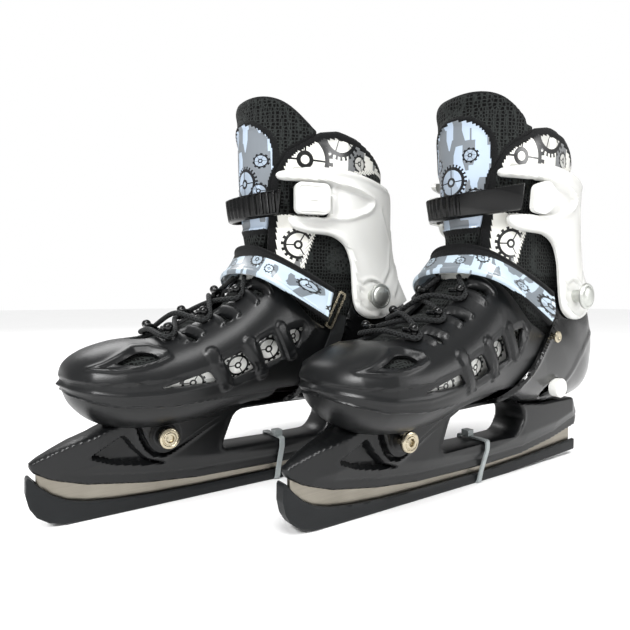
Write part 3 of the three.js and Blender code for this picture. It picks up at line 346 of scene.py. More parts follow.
def printed_vinyl(name, cogs, ground, pale, ink, blocks, stretch, roughness=0.28):
    # Printed PU-coated cloth: smooth and half glossy, with cogs in dark ink over soft-edged upright blocks.
    material, shader = surface(name, ground, roughness, Coat_Weight=0.3, Coat_Roughness=0.12)
    where = add(material, "ShaderNodeTexCoord").outputs["UV"]
    parts = add(material, "ShaderNodeSeparateXYZ", {}, Vector=where).outputs
    tall = add(material, "ShaderNodeMapping", {}, Vector=where,
               Scale=(blocks, blocks * stretch, 1)).outputs[0]
    cells = add(material, "ShaderNodeTexVoronoi", {"distance": "CHEBYCHEV"}, Vector=tall,
                Scale=1.0).outputs["Color"]
    shade = add(material, "ShaderNodeSeparateColor", {}, Color=cells).outputs[0]
    patch = maths(material, "GREATER_THAN", shade, 0.45)
    colour = mixed(material, patch, linear(ground), linear(pale))
    for centre, radius, teeth, spokes in cogs:
        drawn, disc = ring_of_teeth(material, parts, centre, radius, teeth, spokes)
        colour = mixed(material, maths(material, "MULTIPLY", disc, 0.55), colour, linear(pale))
        colour = mixed(material, drawn, colour, linear(ink))
    wire(material, colour, shader.inputs["Base Color"])
    pressed(material, shader, grain(material, 900, 2), 0.05, 0.0003)
    return material


def stitched_stripe():
    # White coated tape along a seam: slightly glossy, with black thread showing every 2.4 mm.
    material, shader = surface("stitched_white_tape", "#e9e8e1", 0.4)
    where = add(material, "ShaderNodeTexCoord").outputs["UV"]
    parts = add(material, "ShaderNodeSeparateXYZ", {}, Vector=where).outputs
    run = maths(material, "SINE", maths(material, "MULTIPLY", maths(material, "ADD", parts[0], parts[1]),
                                        2 * math.pi / 0.0024))
    stitch = maths(material, "GREATER_THAN", run, 0.55)
    wire(material, mixed(material, maths(material, "MULTIPLY", stitch, 0.5), linear("#e9e8e1"),
                         linear("#6d6e6c")),
         shader.inputs["Base Color"])
    pressed(material, shader, run, 0.3, 0.0003)
    return material


def pale_floor():
    # Painted studio board: white, dull, with the faintest mottling.
    material, shader = surface("painted_board", "#fbfbfb", 0.75)
    wire(material, mixed(material, grain(material, 6, 2), linear("#f9f9f9"), linear("#fdfdfd")),
         shader.inputs["Base Color"])
    return material


MATTE = matte_polypropylene()
GLOSS = gloss_abs()
WHITE = white_nylon()
STEEL = ground_steel()
BOLT = zinc_plate("yellow_zinc_plate", "#cfc6b0", "#a39880", 0.24)
RIVET = zinc_plate("satin_nickel_paint", "#d3d5d0", "#bdbfba", 0.42)
GUARD = extruded_pvc()
TIE = grey_nylon_tie()
STRIPE = stitched_stripe()
MESH = spacer_mesh()
BINDING = brushed_binding()
WEBBING = woven_webbing()
LACE = braided_lace()
COLLAR_COGS = [((-0.094, 0.228), 0.019, 24, 4), ((-0.122, 0.249), 0.016, 26, 5),
               ((-0.141, 0.231), 0.006, 12, 3),
               ((-0.092, 0.170), 0.010, 16, 3), ((-0.104, 0.152), 0.007, 12, 3)]
COLLAR = printed_vinyl("printed_collar_cloth", COLLAR_COGS, "#77797a", "#ecebe4", "#0b0c0d", 62, 0.6)
LINER_COGS = [((-0.04, 0.09), 0.008, 14, 3), ((-0.063, 0.099), 0.009, 14, 3),
              ((-0.083, 0.107), 0.007, 12, 3),
              ((-0.01, 0.082), 0.007, 12, 3)]
LINER = printed_vinyl("printed_liner_cloth", LINER_COGS, "#c8cac6", "#f0f0ec", "#0b0c0d", 90, 0.8)
PANEL_COGS = [((0.002, 0.212), 0.0105, 26, 4), ((-0.012, 0.228), 0.0045, 10, 6),
              ((0.016, 0.226), 0.0045, 10, 6),
              ((0.014, 0.206), 0.005, 12, 3), ((-0.014, 0.200), 0.0055, 12, 3)]
PANEL = printed_vinyl("printed_tongue_panel", PANEL_COGS, "#747a80", "#aebdcf", "#14161a", 150, 0.3, 0.2)
STRAP_COGS = [((-0.062, 0.0), 0.006, 14, 5), ((-0.048, -0.004), 0.0035, 10, 4),
              ((-0.074, -0.003), 0.004, 10, 3),
              ((-0.02, 0.002), 0.0045, 12, 3), ((-0.006, -0.003), 0.003, 10, 4),
              ((0.016, 0.0), 0.0055, 14, 5),
              ((0.029, -0.004), 0.0035, 10, 4), ((0.05, 0.002), 0.0045, 12, 3),
              ((0.064, -0.003), 0.003, 10, 4)]
STRAP = printed_vinyl("printed_strap_cloth", STRAP_COGS, "#717980", "#b4c4d1", "#15171a", 210, 0.45, 0.3)

# ---------------------------------------------------------------- the last
# Each knot joins a point on the instep side to one on the sole or heel side, in mm from the front
# bolt and the floor: instep x and z, sole x and z, half width, and how far the toe tip runs forward.
TOE, LENGTH, TOP, BALL, HEEL, SHAFT = 57, 279, 107, 44.5, 32, 30


def along_boot(share):
    return TOE - share * LENGTH


KNOTS = np.array([[along_boot(a), b, along_boot(c), d, w, nose] for a, b, c, d, w, nose in (
    (0.0, TOP - 21, 0.0, TOP - 28, BALL * 0.2, 1),
    (0.012, TOP - 12.5, 0.012, TOP - 38, BALL * 0.45, 0.8),
    (0.045, TOP - 6, 0.045, TOP - 47, BALL * 0.71, 0.4),
    (0.105, TOP - 0.8, 0.105, TOP - 54, BALL * 0.89, 0.1),
    (0.185, TOP + 2, 0.185, TOP - 56.5, BALL * 0.975, 0),
    (0.275, TOP + 11, 0.275, TOP - 55, BALL, 0),
    (0.36, TOP + 24, 0.375, TOP - 50, BALL * 0.985, 0),
    (0.415, TOP + 37, 0.475, TOP - 47, BALL * 0.945, 0),
    (0.44, TOP + 46, 0.575, TOP - 48, BALL * 0.9, 0),
    (0.45, TOP + 52, 0.7, TOP - 52.5, BALL * 0.83, 0),
    (0.452, TOP + 57, 0.85, TOP - 53.5, HEEL + 3, 0),
    (0.45, TOP + 61, 0.945, TOP - 46, HEEL + 1, 0),
    (0.445, TOP + 66, 0.985, TOP - 24, HEEL, 0),
    (0.44, TOP + 74, 0.965, TOP + 10, HEEL - 1.5, 0),
    (0.435, TOP + 83, 0.905, TOP + 42, SHAFT, 0),
    (0.432, TOP + 97, 0.872, TOP + 72, SHAFT + 2, 0),
    (0.43, TOP + 121, 0.865, TOP + 104, SHAFT + 4, 0),
    (0.431, TOP + 149, 0.85, TOP + 134, SHAFT + 5, 0),
    (0.44, 280, 0.83, 280, SHAFT + 6, 0),
)])


def spline(points, t):
    """Centripetal spline through points, at shares t of its length in knots."""
    points = np.asarray(points, float)
    padded = np.vstack([2 * points[0] - points[1], points, 2 * points[-1] - points[-2]])
    place = np.clip(t, 0, 1) * (len(points) - 1)
    start = np.minimum(place.astype(int), len(points) - 2)
    w = (place - start)[..., None]
    p0, p1, p2, p3 = (padded[start + i] for i in range(4))
    d0, d1, d2 = (np.maximum(np.linalg.norm(b - a, axis=-1, keepdims=True), 1e-8) ** 0.5
                  for a, b in ((p0, p1), (p1, p2), (p2, p3)))
    t1 = ((p1 - p0) / d0 - (p2 - p0) / (d0 + d1) + (p2 - p1) / d1) * d1
    t2 = ((p2 - p1) / d1 - (p3 - p1) / (d1 + d2) + (p3 - p2) / d2) * d1
    c2, c3 = -3 * p1 + 3 * p2 - 2 * t1 - t2, 2 * p1 - 2 * p2 + t1 + t2
    return p1 + t1 * w + c2 * w ** 2 + c3 * w ** 3


def smooth_step(x, low, high):
    s = np.clip((x - low) / (high - low), 0, 1)
    return s * s * (3 - 2 * s)


def lean(x):
    """Sideways lean of the last's middle, towards the inner side at the toes."""
    return -4 * (1 - smooth_step(-np.asarray(x, float), -along_boot(0.05), -along_boot(0.5)))


NOSE = 0.025                          # knots' share over which the toe tip closes


def last(t, a, grow):
    """Points of the last at station t and angle a (0 over the instep, pi under the sole), grown."""
    top = spline(KNOTS[:, [0, 1]], t)
    sole = spline(KNOTS[:, [2, 3]], t)
    size = spline(KNOTS[:, [4, 5]], t)
    shrink = np.sqrt(np.clip(1 - (np.minimum(t, 0) / NOSE) ** 2, 0, 1))
    span = sole - top
    gap = np.linalg.norm(span, axis=-1, keepdims=True)
    unit = span / gap
    middle = (top + sole) / 2
    half = (gap[..., 0] / 2 + grow) * shrink
    power = np.where(np.cos(a) < 0, 2 / 2.05, 2 / 2.35)
    u = np.sign(np.cos(a)) * np.abs(np.cos(a)) ** power
    v = np.sign(np.sin(a)) * np.abs(np.sin(a)) ** power
    x = middle[..., 0] - unit[..., 0] * u * half + grow * size[..., 1] + 2.2 * (1 - shrink)
    z = middle[..., 1] - unit[..., 1] * u * half
    top_x = top[..., 0] - unit[..., 0] * grow
    y = lean(top_x) + v * (size[..., 0] + grow) * shrink
    return np.stack([x, y, z], -1)


def stations(low, high, step):
    """Stations from low to high spaced about step mm apart."""
    t = np.linspace(low, high, 500)
    ring = np.stack([last(t, np.full_like(t, a), 0) for a in (0, math.pi / 2, math.pi)])
    run = np.concatenate([[0], np.cumsum(np.linalg.norm(np.diff(ring, axis=1), axis=-1).max(0))])
    count = max(int(run[-1] / step), 4)
    return np.interp(np.linspace(0, run[-1], count + 1), run, t)


CLOUD_T, CLOUD_A = np.meshgrid(np.linspace(0, 1, 700), np.linspace(-math.pi, math.pi, 361), indexing="ij")
CLOUD = last(CLOUD_T, CLOUD_A, 0)


def top_of(x, y):
    """Height of the last's upper face at x, y."""
    upper = np.abs(CLOUD_A) < math.pi / 2
    points = CLOUD[upper]
    points = points[points[:, 2] < 175]
    near = np.argsort((points[:, 0] - x) ** 2 + (points[:, 1] - y) ** 2)[:4]
    return points[near, 2].mean()


def side_of(x, z, grow):
    """How far out the last grown by grow stands at x, z on the left."""
    half = (CLOUD_A > 0.02) & (CLOUD_A < math.pi - 0.02)
    points = last(CLOUD_T[half], CLOUD_A[half], grow)
    near = np.argsort((points[:, 0] - x) ** 2 + (points[:, 2] - z) ** 2)[:4]
    return points[near, 1].mean()


# ---------------------------------------------------------------- outlines and distances
def signed(px, pz, corners):
    """Distance from each point to a closed outline, positive inside it."""
    corners = np.asarray(corners, float)
    best = np.full(np.shape(px), 1e9)
    odd = np.zeros(np.shape(px), bool)
    for (ax, az), (bx, bz) in zip(corners, np.roll(corners, -1, 0)):
        ex, ez = bx - ax, bz - az
        s = np.clip(((px - ax) * ex + (pz - az) * ez) / max(ex * ex + ez * ez, 1e-9), 0, 1)
        best = np.minimum(best, np.hypot(px - ax - s * ex, pz - az - s * ez))
        crosses = ((az > pz) != (bz > pz)) & (px < ex * (pz - az) / (ez if abs(ez) > 1e-9 else 1e-9) + ax)
        odd ^= crosses
    return np.where(odd, best, -best)


def away(px, pz, path):
    """Distance from each point to an open line."""
    best = np.full(np.shape(px), 1e9)
    for (ax, az), (bx, bz) in zip(path[:-1], path[1:]):
        ex, ez = bx - ax, bz - az
        s = np.clip(((px - ax) * ex + (pz - az) * ez) / (ex * ex + ez * ez), 0, 1)
        best = np.minimum(best, np.hypot(px - ax - s * ex, pz - az - s * ez))
    return best


def rounded(corners, radius, steps=5):
    """A closed outline with its corners rounded."""
    corners = np.asarray(corners, float)
    points = []
    for i, corner in enumerate(corners):
        before, after = corners[i - 1], corners[(i + 1) % len(corners)]
        reach_in = min(radius, np.linalg.norm(corner - before) / 2.2)
        reach_out = min(radius, np.linalg.norm(corner - after) / 2.2)
        start = corner + (before - corner) / np.linalg.norm(before - corner) * reach_in
        end = corner + (after - corner) / np.linalg.norm(after - corner) * reach_out
        for s in np.linspace(0, 1, steps):
            points.append((1 - s) ** 2 * start + 2 * s * (1 - s) * corner + s * s * end)
    return np.array(points)


def height_on(path, x):
    """Height of a side-view line, given from rear to front, at each x."""
    path = np.asarray(sorted(path), float)
    return np.interp(x, path[:, 0], path[:, 1])


def swell(distance, width):
    return np.exp(-(distance / width) ** 2)


# ---------------------------------------------------------------- mesh building
def new_piece(name, points, faces, flat=None, angle=35):
    """A mesh object from points in mm of one skate's own space, shaded smooth up to an angle."""
    mesh = bpy.data.meshes.new(name)
    mesh.from_pydata((np.asarray(points) * MM).tolist(), [], faces)
    if flat is not None:
        layer = mesh.uv_layers.new(name="UVMap")
        index = np.zeros(len(mesh.loops), int)
        mesh.loops.foreach_get("vertex_index", index)
        layer.data.foreach_set("uv", (np.asarray(flat)[index] * MM).ravel())
    piece = bpy.data.objects.new(name, mesh)
    bpy.context.scene.collection.objects.link(piece)
    shell = bmesh.new()
    shell.from_mesh(mesh)
    bmesh.ops.recalc_face_normals(shell, faces=shell.faces)
    shell.to_mesh(mesh)
    shell.free()
    smooth(piece, angle)
    return piece


def smooth(piece, angle=35):
    bpy.ops.object.select_all(action="DESELECT")
    piece.select_set(True)
    bpy.context.view_layer.objects.active = piece
    bpy.ops.object.shade_smooth_by_angle(angle=math.radians(angle))
    piece.select_set(False)


def snapped(u, v, inside, wrap):
    """Grid parameters with the points nearest the outline moved onto it, and each point's depth inside."""
    depth = inside(u, v)
    best = np.full(u.shape, 9.0)
    du, dv = np.zeros_like(u), np.zeros_like(v)
    rows, cols = u.shape
    for axis, shift in ((0, 1), (0, -1), (1, 1), (1, -1)):
        other = np.roll(depth, -shift, axis)
        step_u = np.roll(u, -shift, axis) - u
        step_v = np.roll(v, -shift, axis) - v
        if wrap and axis == 1:
            step_v = (step_v + math.pi) % (2 * math.pi) - math.pi
        real = np.ones(u.shape, bool)
        if axis == 0:
            real[rows - 1 if shift == 1 else 0, :] = False
        elif not wrap:
            real[:, cols - 1 if shift == 1 else 0] = False
        share = depth / np.where(np.abs(depth - other) < 1e-9, 1e-9, depth - other)
        use = real & (depth * other < 0) & (share <= 0.5) & (share < best)
        du, dv = np.where(use, step_u * share, du), np.where(use, step_v * share, dv)
        best = np.where(use, share, best)
    u, v = u + du, v + dv
    return u, v, np.where(best < 9, 0.0, inside(u, v))


def skin(name, rows, cols, inside, outer, inner, wrap=False, edge=0.8, flat=None, angle=35):
    """A walled piece over a grid, kept where inside is positive, with outer and inner faces joined at
    their edges. The outer face drops by edge mm, rounded, as it nears its edges."""
    u, v = np.meshgrid(rows, cols, indexing="ij")
    u, v, depth = snapped(u, v, inside, wrap)
    if wrap:
        u, v, depth = (np.hstack([part, part[:, :1]]) for part in (u, v, depth))
    count_u, count_v = u.shape
    drop = edge * (1 - np.sqrt(1 - (1 - np.clip(depth / edge, 0,
                                                1)) ** 2)) if edge else np.zeros_like(depth)
    out, inn = outer(u, v, drop).reshape(-1, 3), inner(u, v).reshape(-1, 3)
    index = np.arange(count_u * count_v).reshape(count_u, count_v)
    quads = np.stack([index[:-1, :-1], index[1:, :-1], index[1:, 1:], index[:-1, 1:]], -1).reshape(-1, 4)
    values = depth.ravel()[quads]
    centre_u, centre_v = u.ravel()[quads].mean(1), v.ravel()[quads].mean(1)
    if wrap:
        first = v.ravel()[quads[:, :1]]
        turn = (v.ravel()[quads] - first + math.pi) % (2 * math.pi) - math.pi
        centre_v = first[:, 0] + turn.mean(1)
    middle = inside(centre_u, centre_v)
    out_count = (values < 0).sum(1)
    whole = quads[(out_count == 0) & (middle > 0)]
    cornered = (out_count == 1) & ((values > 0).sum(1) > 0)
    order = np.argmin(values[cornered], 1)
    three = np.stack([quads[cornered][np.arange(len(order)), (order + i) % 4] for i in (1, 2, 3)], -1)
    _, first_of, same = np.unique(np.round(out, 3), axis=0, return_index=True, return_inverse=True)
    same = first_of[np.asarray(same).ravel()]
    faces = []
    for face in [*whole.tolist(), *three.tolist()]:
        face = [same[i] for i in face]
        clean = [c for c, before in zip(face, [face[-1], *face[:-1]]) if c != before]
        if len(set(clean)) >= 3:
            faces.append(clean)
    count = len(out)
    edges = {}
    for face in faces:
        for a, b in zip(face, [*face[1:], face[0]]):
            edges[(a, b)] = True
    rim = [[b, a, a + count, b + count] for a, b in edges if (b, a) not in edges]
    back = [[i + count for i in reversed(face)] for face in faces]
    faces = faces + back + rim
    used = sorted({i for face in faces for i in face})
    renumber = {old: new for new, old in enumerate(used)}
    points = np.vstack([out, inn])[used]
    faces = [[renumber[i] for i in face] for face in faces]
    coordinates = None
    if flat is not None:
        pattern = flat(u.ravel(), v.ravel())
        coordinates = np.vstack([pattern, pattern])[used]
    return new_piece(name, points, faces, coordinates, angle)


def place(piece, name, body, slot, material, replaces=(), bend=None, fill=None):
    """Puts a piece on the left skate and its mirror image on the right one, each with its own mesh."""
    made = {}
    for side, (x, y, mirror) in PLACES.items():
        mesh = piece.data.copy()
        if mirror < 0:
            mesh.transform(Matrix.Scale(-1, 4, (0, 1, 0)))
            mesh.flip_normals()
        mesh.transform(Matrix.Translation((x * MM, y * MM, 0)))
        if material is not None:
            mesh.materials.clear()
            mesh.materials.append(material)
        copy = bpy.data.objects.new(f"{side}_{name}", mesh)
        bpy.context.scene.collection.objects.link(copy)
        if bend:
            start, end = ((x * MM, y * MM, z * MM) for z in bend)
            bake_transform(copy)
            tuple(start)
            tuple(end)
        else:
            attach(copy, f"{side}_{body}")
        if replaces:
            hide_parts(*[f"{side}_{node}" for node in replaces])
        made[side] = copy
    bpy.data.objects.remove(piece)
    return made


def joined(pieces, name):
    """Several template pieces as one."""
    bpy.ops.object.select_all(action="DESELECT")
    for piece in pieces:
        piece.select_set(True)
    bpy.context.view_layer.objects.active = pieces[0]
    bpy.ops.object.join()
    pieces[0].name = name
    pieces[0].select_set(False)
    return pieces[0]


# ---------------------------------------------------------------- shell round the last
def shell(name, t_range, step_t, count_a, inside_xyz, growth, wall, a_range=None, edge=0.9, flat="side",
          angle=35):
    """A moulding round the last: inside_xyz gives depth inside its outline, growth its outer height."""
    rows = stations(*t_range, step_t)
    wrap = a_range is None
    cols = np.linspace(-math.pi, math.pi, count_a, endpoint=False) if wrap else np.linspace(*a_range,
            count_a)

    def inside(t, a):
        return inside_xyz(*np.moveaxis(last(t, a, 0), -1, 0))

    def outer(t, a, drop):
        return last(t, a, growth(*np.moveaxis(last(t, a, 0), -1, 0)) - drop)

    def inner(t, a):
        grow = growth(*np.moveaxis(last(t, a, 0), -1, 0))
        return last(t, a, np.minimum(grow - wall, grow - 0.8) if np.ndim(wall) == 0 else wall)

    def pattern(t, a):
        x, y, z = np.moveaxis(last(t, a, 0), -1, 0)
        if flat == "band":
            return np.stack([a * 46, on_strap(x, z)[1]], -1)
        return np.stack([x, z] if flat == "side" else [y - lean(x), z], -1)

    return skin(name, rows, cols, inside, outer, inner, wrap, edge, pattern, angle)


# ---------------------------------------------------------------- toe box moulding
TOE_SIDE = rounded([(80, 20), (80, 130), (1, 147), (-63, 152), (-70, 147), (-96, 118), (-125, 104),
                    (-125, 20)], 6)
WINDOWS = [rounded(pane, 1.6) for pane in (
    [(-28, 95), (-41, 99.5), (-50, 87), (-35, 82)],
    [(-52, 105), (-63, 110), (-71, 93.5), (-58, 89)],
    [(-76, 111.5), (-89, 113.5), (-86, 106), (-81.5, 99)],
    [(9, 80.7), (-19, 89), (-24, 81.8)],
)]
VENT = rounded([(33, 95.8), (20, 101.8), (11, 101.6), (7, 98.2), (18, 95)], 3)
VENT_RIM = [(46, 92.8), (38, 95.5), (30, 99.5), (21, 104), (12, 104.2), (4, 101.5), (3, 98), (10, 95.2),
            (20, 93), (33, 91.8), (46, 92.8)]
CAP_LINE = [(60, 86.5), (45, 85), (27, 84), (5, 86), (-21, 92)]
FLANGE_LINE = [(60, 78.5), (48, 75), (33, 71), (5, 69), (-39, 71), (-81, 70)]
HOOKS = [(-1 - 23.5 * i, 21.5 - 2 * i) for i in range(3)]
LACING = rounded([(12, -10), (19, 0), (12, 10), (-9, 15), (-48, 13.7), (-112, 14.5), (-112, -14.5),
                  (-48, -13.7), (-9, -15)], 4)


def rungs():
    """Plan-view ends of the rib before each slot, the slot itself and the rib behind it."""
    for x, y in HOOKS:
        middle = x - 11.75
        yield [(middle + 6.2, y - 3), (middle + 3.7, 31)], [(middle + 1.8, y + 1.5),
                                                            (middle - 1.6, y + 10.5)], \
            [(middle - 2.6, y - 3), (middle - 6.4, 31)]


def toe_inside(x, y, z):
    across = np.abs(y - lean(x))
    depth = signed(x, z, TOE_SIDE)
    high = z > 82
    depth = np.where(high, np.minimum(depth, -signed(x, y - lean(x), LACING)), depth)
    for hole in [*WINDOWS, VENT]:
        depth = np.where(across > 10, np.minimum(depth, -signed(x, z, hole)), depth)
    for _, slot, _ in rungs():
        depth = np.where(high, np.minimum(depth, away(x, across, slot) - 1.9), depth)
    slit = np.minimum(np.minimum(19 - x, x + 74), 16.3 - across)
    room = np.minimum(np.minimum(7.5 - x, x + 25.5), 20 - across)
    low = z < 66
    depth = np.where(low, np.minimum(depth, -np.maximum(slit, room)), depth)
    rear = np.minimum(-74 - x, 70.5 - z)
    return np.minimum(depth, -rear)


def toe_growth(x, y, z):
    across = np.abs(y - lean(x))
    cap = z - height_on(CAP_LINE, x)
    flange = z - height_on(FLANGE_LINE, x)
    fade = smooth_step(x, -60, -10)
    grow = np.zeros_like(x)
    grow -= 1.1 * smooth_step(-cap, -0.5, 0.7) * smooth_step(flange, -0.4,
                                                             1.2) * (0.35 + 0.65 * smooth_step(x, -35, 15))
    middle = (height_on(CAP_LINE, x) * 0.45 + height_on(FLANGE_LINE, x) * 0.55)
    grow += 0.85 * swell(z - middle, 1.5) * smooth_step(x, -30, 0) * (z < height_on(CAP_LINE, x))
    grow -= 1.5 * smooth_step(-flange, -0.3, 0.9) * smooth_step(z, 50, 66) * (0.5 + 0.5 * fade)
    rim = away(x, z, VENT_RIM)
    side = smooth_step(across, 8, 14)
    grow += (1.0 * swell(rim, 1.1) - 0.9 * smooth_step(signed(x, z, np.array(VENT_RIM)), 0.6, 2.0)) * side
    high = smooth_step(z, 90, 96)
    for front, slot, rear in rungs():
        for rib in (front, rear):
            grow += 1.7 * np.clip(1 - (away(x, across, rib) / 2.1) ** 2, 0, 1) ** 0.5 * high
        grow -= 0.5 * swell(away(x, across, slot), 3.0) * high
    for bar in ([(-21, 99), (-30, 79)], [(-45.5, 105), (-55.5, 84)], [(-69, 113), (-77.5, 95)]):
        grow += 1.2 * smooth_step(-away(x, z, bar), -4.4, -3.2) * smooth_step(across, 24, 30)
    for pane in WINDOWS[:3]:
        depth = signed(x, z, pane)
        grow -= 0.7 * smooth_step(depth, -4.2, -3.0) * smooth_step(across, 20, 26)
    sill = away(x, z, [(-33, 78.5), (-56, 85), (-76, 94), (-98, 112)])
    grow += 0.8 * swell(sill, 1.3) * smooth_step(across, 22, 28)
    return grow


def make_toe_box():
    piece = shell("toe_moulding", (-NOSE, 0.62), 1.25, 230, toe_inside, toe_growth, 2.6, edge=0.7)
    place(piece, "toe_moulding", "toe_box", "matte_black", MATTE, ["toe_shell"])


# ---------------------------------------------------------------- heel moulding
HEEL_SIDE = rounded([(-82.5, 30), (-86, 60), (-91, 74), (-99, 85), (-110, 99), (-123, 112), (-131, 126),
                     (-134, 138),
                     (-141, 146), (-154, 149), (-171, 146), (-183, 149), (-260, 149), (-260, 30)], 8)


def heel_inside(x, y, z):
    depth = signed(x, z, HEEL_SIDE)
    button = np.hypot(x - SIZE_BUTTON[0], z - SIZE_BUTTON[1]) - 8.2
    return np.where(y < 0, np.minimum(depth, button), depth)


def heel_growth(x, y, z):
    grow = np.full_like(x, HEEL_LIFT)
    grow += 0.9 * swell(signed(x, z, HEEL_SIDE) - 1.6, 1.6)
    facet = z - (64 + 0.55 * (x + 215))
    grow -= 0.9 * smooth_step(facet, 0, 16) * smooth_step(-x, 150, 175)
    grow += 0.7 * swell(away(x, z, [(-225, 112), (-190, 104), (-165, 88), (-150, 70), (-146, 52)]), 2.2)
    return grow


def make_heel():
    piece = shell("heel_moulding", (0.36, 0.86), 1.6, 200, heel_inside, heel_growth, 2.6, edge=0.8)
    place(piece, "heel_moulding", "skate", "gloss_black", GLOSS, ["heel_shell"])


# ---------------------------------------------------------------- cuff
CUFF_SIDE = rounded([
    (-77, 211.5), (-77, 216.5), (-84, 218.5), (-99.8, 222), (-121.8, 223), (-141.8, 221), (-169.8, 217),
    (-186.8, 210), (-262, 208), (-262, 130), (-193, 132), (-173, 125), (-159, 118), (-145, 117),
    (-135, 122),
    (-132, 130), (-132, 156), (-127, 170), (-116, 176.5), (-95, 177), (-87, 180), (-84, 188), (-112.5, 188),
    (-112.5, 211.5),
], 6)
EYE = rounded([(-100, 213), (-132, 210.5), (-150, 205), (-144, 197), (-126, 189.5), (-100, 187)], 5)


def cuff_inside(x, y, z):
    depth = signed(x, z, CUFF_SIDE)
    across = np.abs(y - lean(x))
    back = rounded([(-8, 154), (8, 154), (15, 163), (13, 176), (7, 183), (-7, 183), (-13, 176),
                    (-15, 163)], 3)
    return np.where(x < -170, np.minimum(depth, -signed(np.sign(y) * across, z, back)), depth)


def cuff_growth(x, y, z):
    grow = np.full_like(x, CUFF_LIFT)
    edge = signed(x, z, CUFF_SIDE)
    grow += 0.9 * swell(edge - 2.2, 2.0) * smooth_step(x, -175, -160)
    eye = signed(x, z, EYE)
    grow += 1.3 * swell(eye + 0.8, 1.5) - 2.0 * smooth_step(eye, 0.2, 2.6)
    ring = np.hypot(x - PIVOT[0], z - PIVOT[1])
    grow += 0.9 * swell(ring - 13.5, 1.5) - 0.9 * swell(ring - 11, 1.0)
    for path in ([(-158, 199), (-172, 178), (-168, 156), (-160, 146)],
                 [(-178, 186), (-186, 166), (-182, 148), (-172, 136)]):
        grow += 0.8 * swell(away(x, z, path), 1.6)
        grow -= 0.8 * swell(away(x + 3.6, z, path), 3.0)
    return grow


def make_cuff():
    piece = shell("cuff_moulding", (0.3, 1.0), 1.3, 240, cuff_inside, cuff_growth, 3.1, edge=1.3)
    place(piece, "cuff_moulding", "cuff", "cuff_white", WHITE, ["cuff"])


# ---------------------------------------------------------------- liner and tongue
def ankle(z):
    return smooth_step(z, 132, 156)


LINER_SIDE = [(75, 40), (75, 122), (-30, 152), (-60, 163), (-72.5, 166), (-72, 215), (-79, 232),
              (-92, 241), (-105, 248), (-120, 251),
              (-138, 248.5), (-157, 241.5), (-176, 232), (-240, 230), (-240, 40)]


def liner_inside(x, y, z):
    return signed(x, z, LINER_SIDE)


def liner_growth(x, y, z):
    foot = 1 - ankle(z)
    room = foot * (3 * smooth_step(-z, -68, -60) + 2.4 * smooth_step(-x, 10, 55))
    return LINER_LIFT + 4.5 * ankle(z) + 0.9 * swell(signed(x, z, LINER_SIDE) - 3, 3) * ankle(z) - room


def collar_materials(piece):
    """Printed cloth on the collar and under the side windows, mesh between, and binding at the edges."""
    mesh = piece.data
    for material in (MESH, COLLAR, BINDING, LINER, STRIPE):
        mesh.materials.append(material)
    centres = np.array([face.center for face in mesh.polygons]) / MM
    x, z = centres[:, 0], centres[:, 2]
    kind = np.zeros(len(x), int)
    upper = z > height_on([(-220, 219), (-163, 228), (-142, 223), (-60, 214)], x)
    lower = (z < 190) & (z > 146) & (x > height_on([(146, -90), (177, -101), (190, -104)], z))
    kind[upper | lower] = 1
    kind[(signed(x, z, LINER_SIDE) < 5.5) & (z > 150)] = 2
    edge = np.abs(x - height_on([(146, -90), (177, -101), (190, -104)], z) + 1.5) < 1.5
    kind[edge & (z < 190) & (z > 146)] = 4
    kind[(np.abs(z - height_on([(-220, 220.5), (-163, 229.5), (-142, 224.5), (-100, 218)],
                               x)) < 1.5) & (x < -125)] = 4
    kind[(z < 125) & (x > -93)] = 3
    kind[(x > 0) & (z > 88)] = 0
    kind[(np.abs(centres[:, 1]) < 26) & (z > 85) & (z < 140)] = 0
    facing = np.array([face.normal for face in mesh.polygons])
    kind[(facing[:, 0] * (x + 140) + facing[:, 1] * centres[:, 1] < 0) & (z > 130)] = 0
    for face, value in zip(mesh.polygons, kind):
        face.material_index = int(value)


def make_liner():
    piece = shell("liner_boot", (-NOSE, 1.0), 1.5, 220, liner_inside, liner_growth, 4.0, edge=1.6)
    collar_materials(piece)
    place(piece, "liner_boot", None, "liner_fabric", None, ["liner_foot", "liner_collar"],
          bend=(128, 160), fill=0.5)


TONGUE_SIDE = rounded([(22, 98), (22, 118), (-24, 150), (-30, 271), (-62, 271), (-72, 269), (-80, 265.5),
                       (-88, 259.5),
                       (-96, 252.5), (-104, 246.5), (-95, 240.5), (-81, 232), (-73.5, 216), (-71.3, 168),
                       (-60, 150), (-30, 120), (10, 100)], 9)
TONGUE_PANEL = rounded([(-19, 180), (-23, 215), (-23, 240), (-14, 250), (0, 253), (14, 250), (23, 240),
                        (23, 215), (19, 180)], 7)


def tongue_inside(x, y, z):
    across = np.abs(y - lean(x))
    low = 23 + np.clip(z - 150, 0, 99) * 2.5 - across
    wide = 33 + 40 * smooth_step(-z, -250, -228) - across
    return np.minimum(np.minimum(signed(x, z, TONGUE_SIDE), low), wide)


def tongue_growth(x, y, z):
    across = y - lean(x)
    grow = -3.1 + 4.4 * smooth_step(z, 146, 170)
    high = smooth_step(z, 165, 185)
    panel = signed(across, z, TONGUE_PANEL)
    grow += high * (1.1 * swell(panel + 1.2, 1.8) - 0.5 * smooth_step(panel, 0, 2))
    grow += 1.6 * smooth_step(z, 252, 268) * swell(signed(x, z, TONGUE_SIDE) - 5, 6)
    return grow


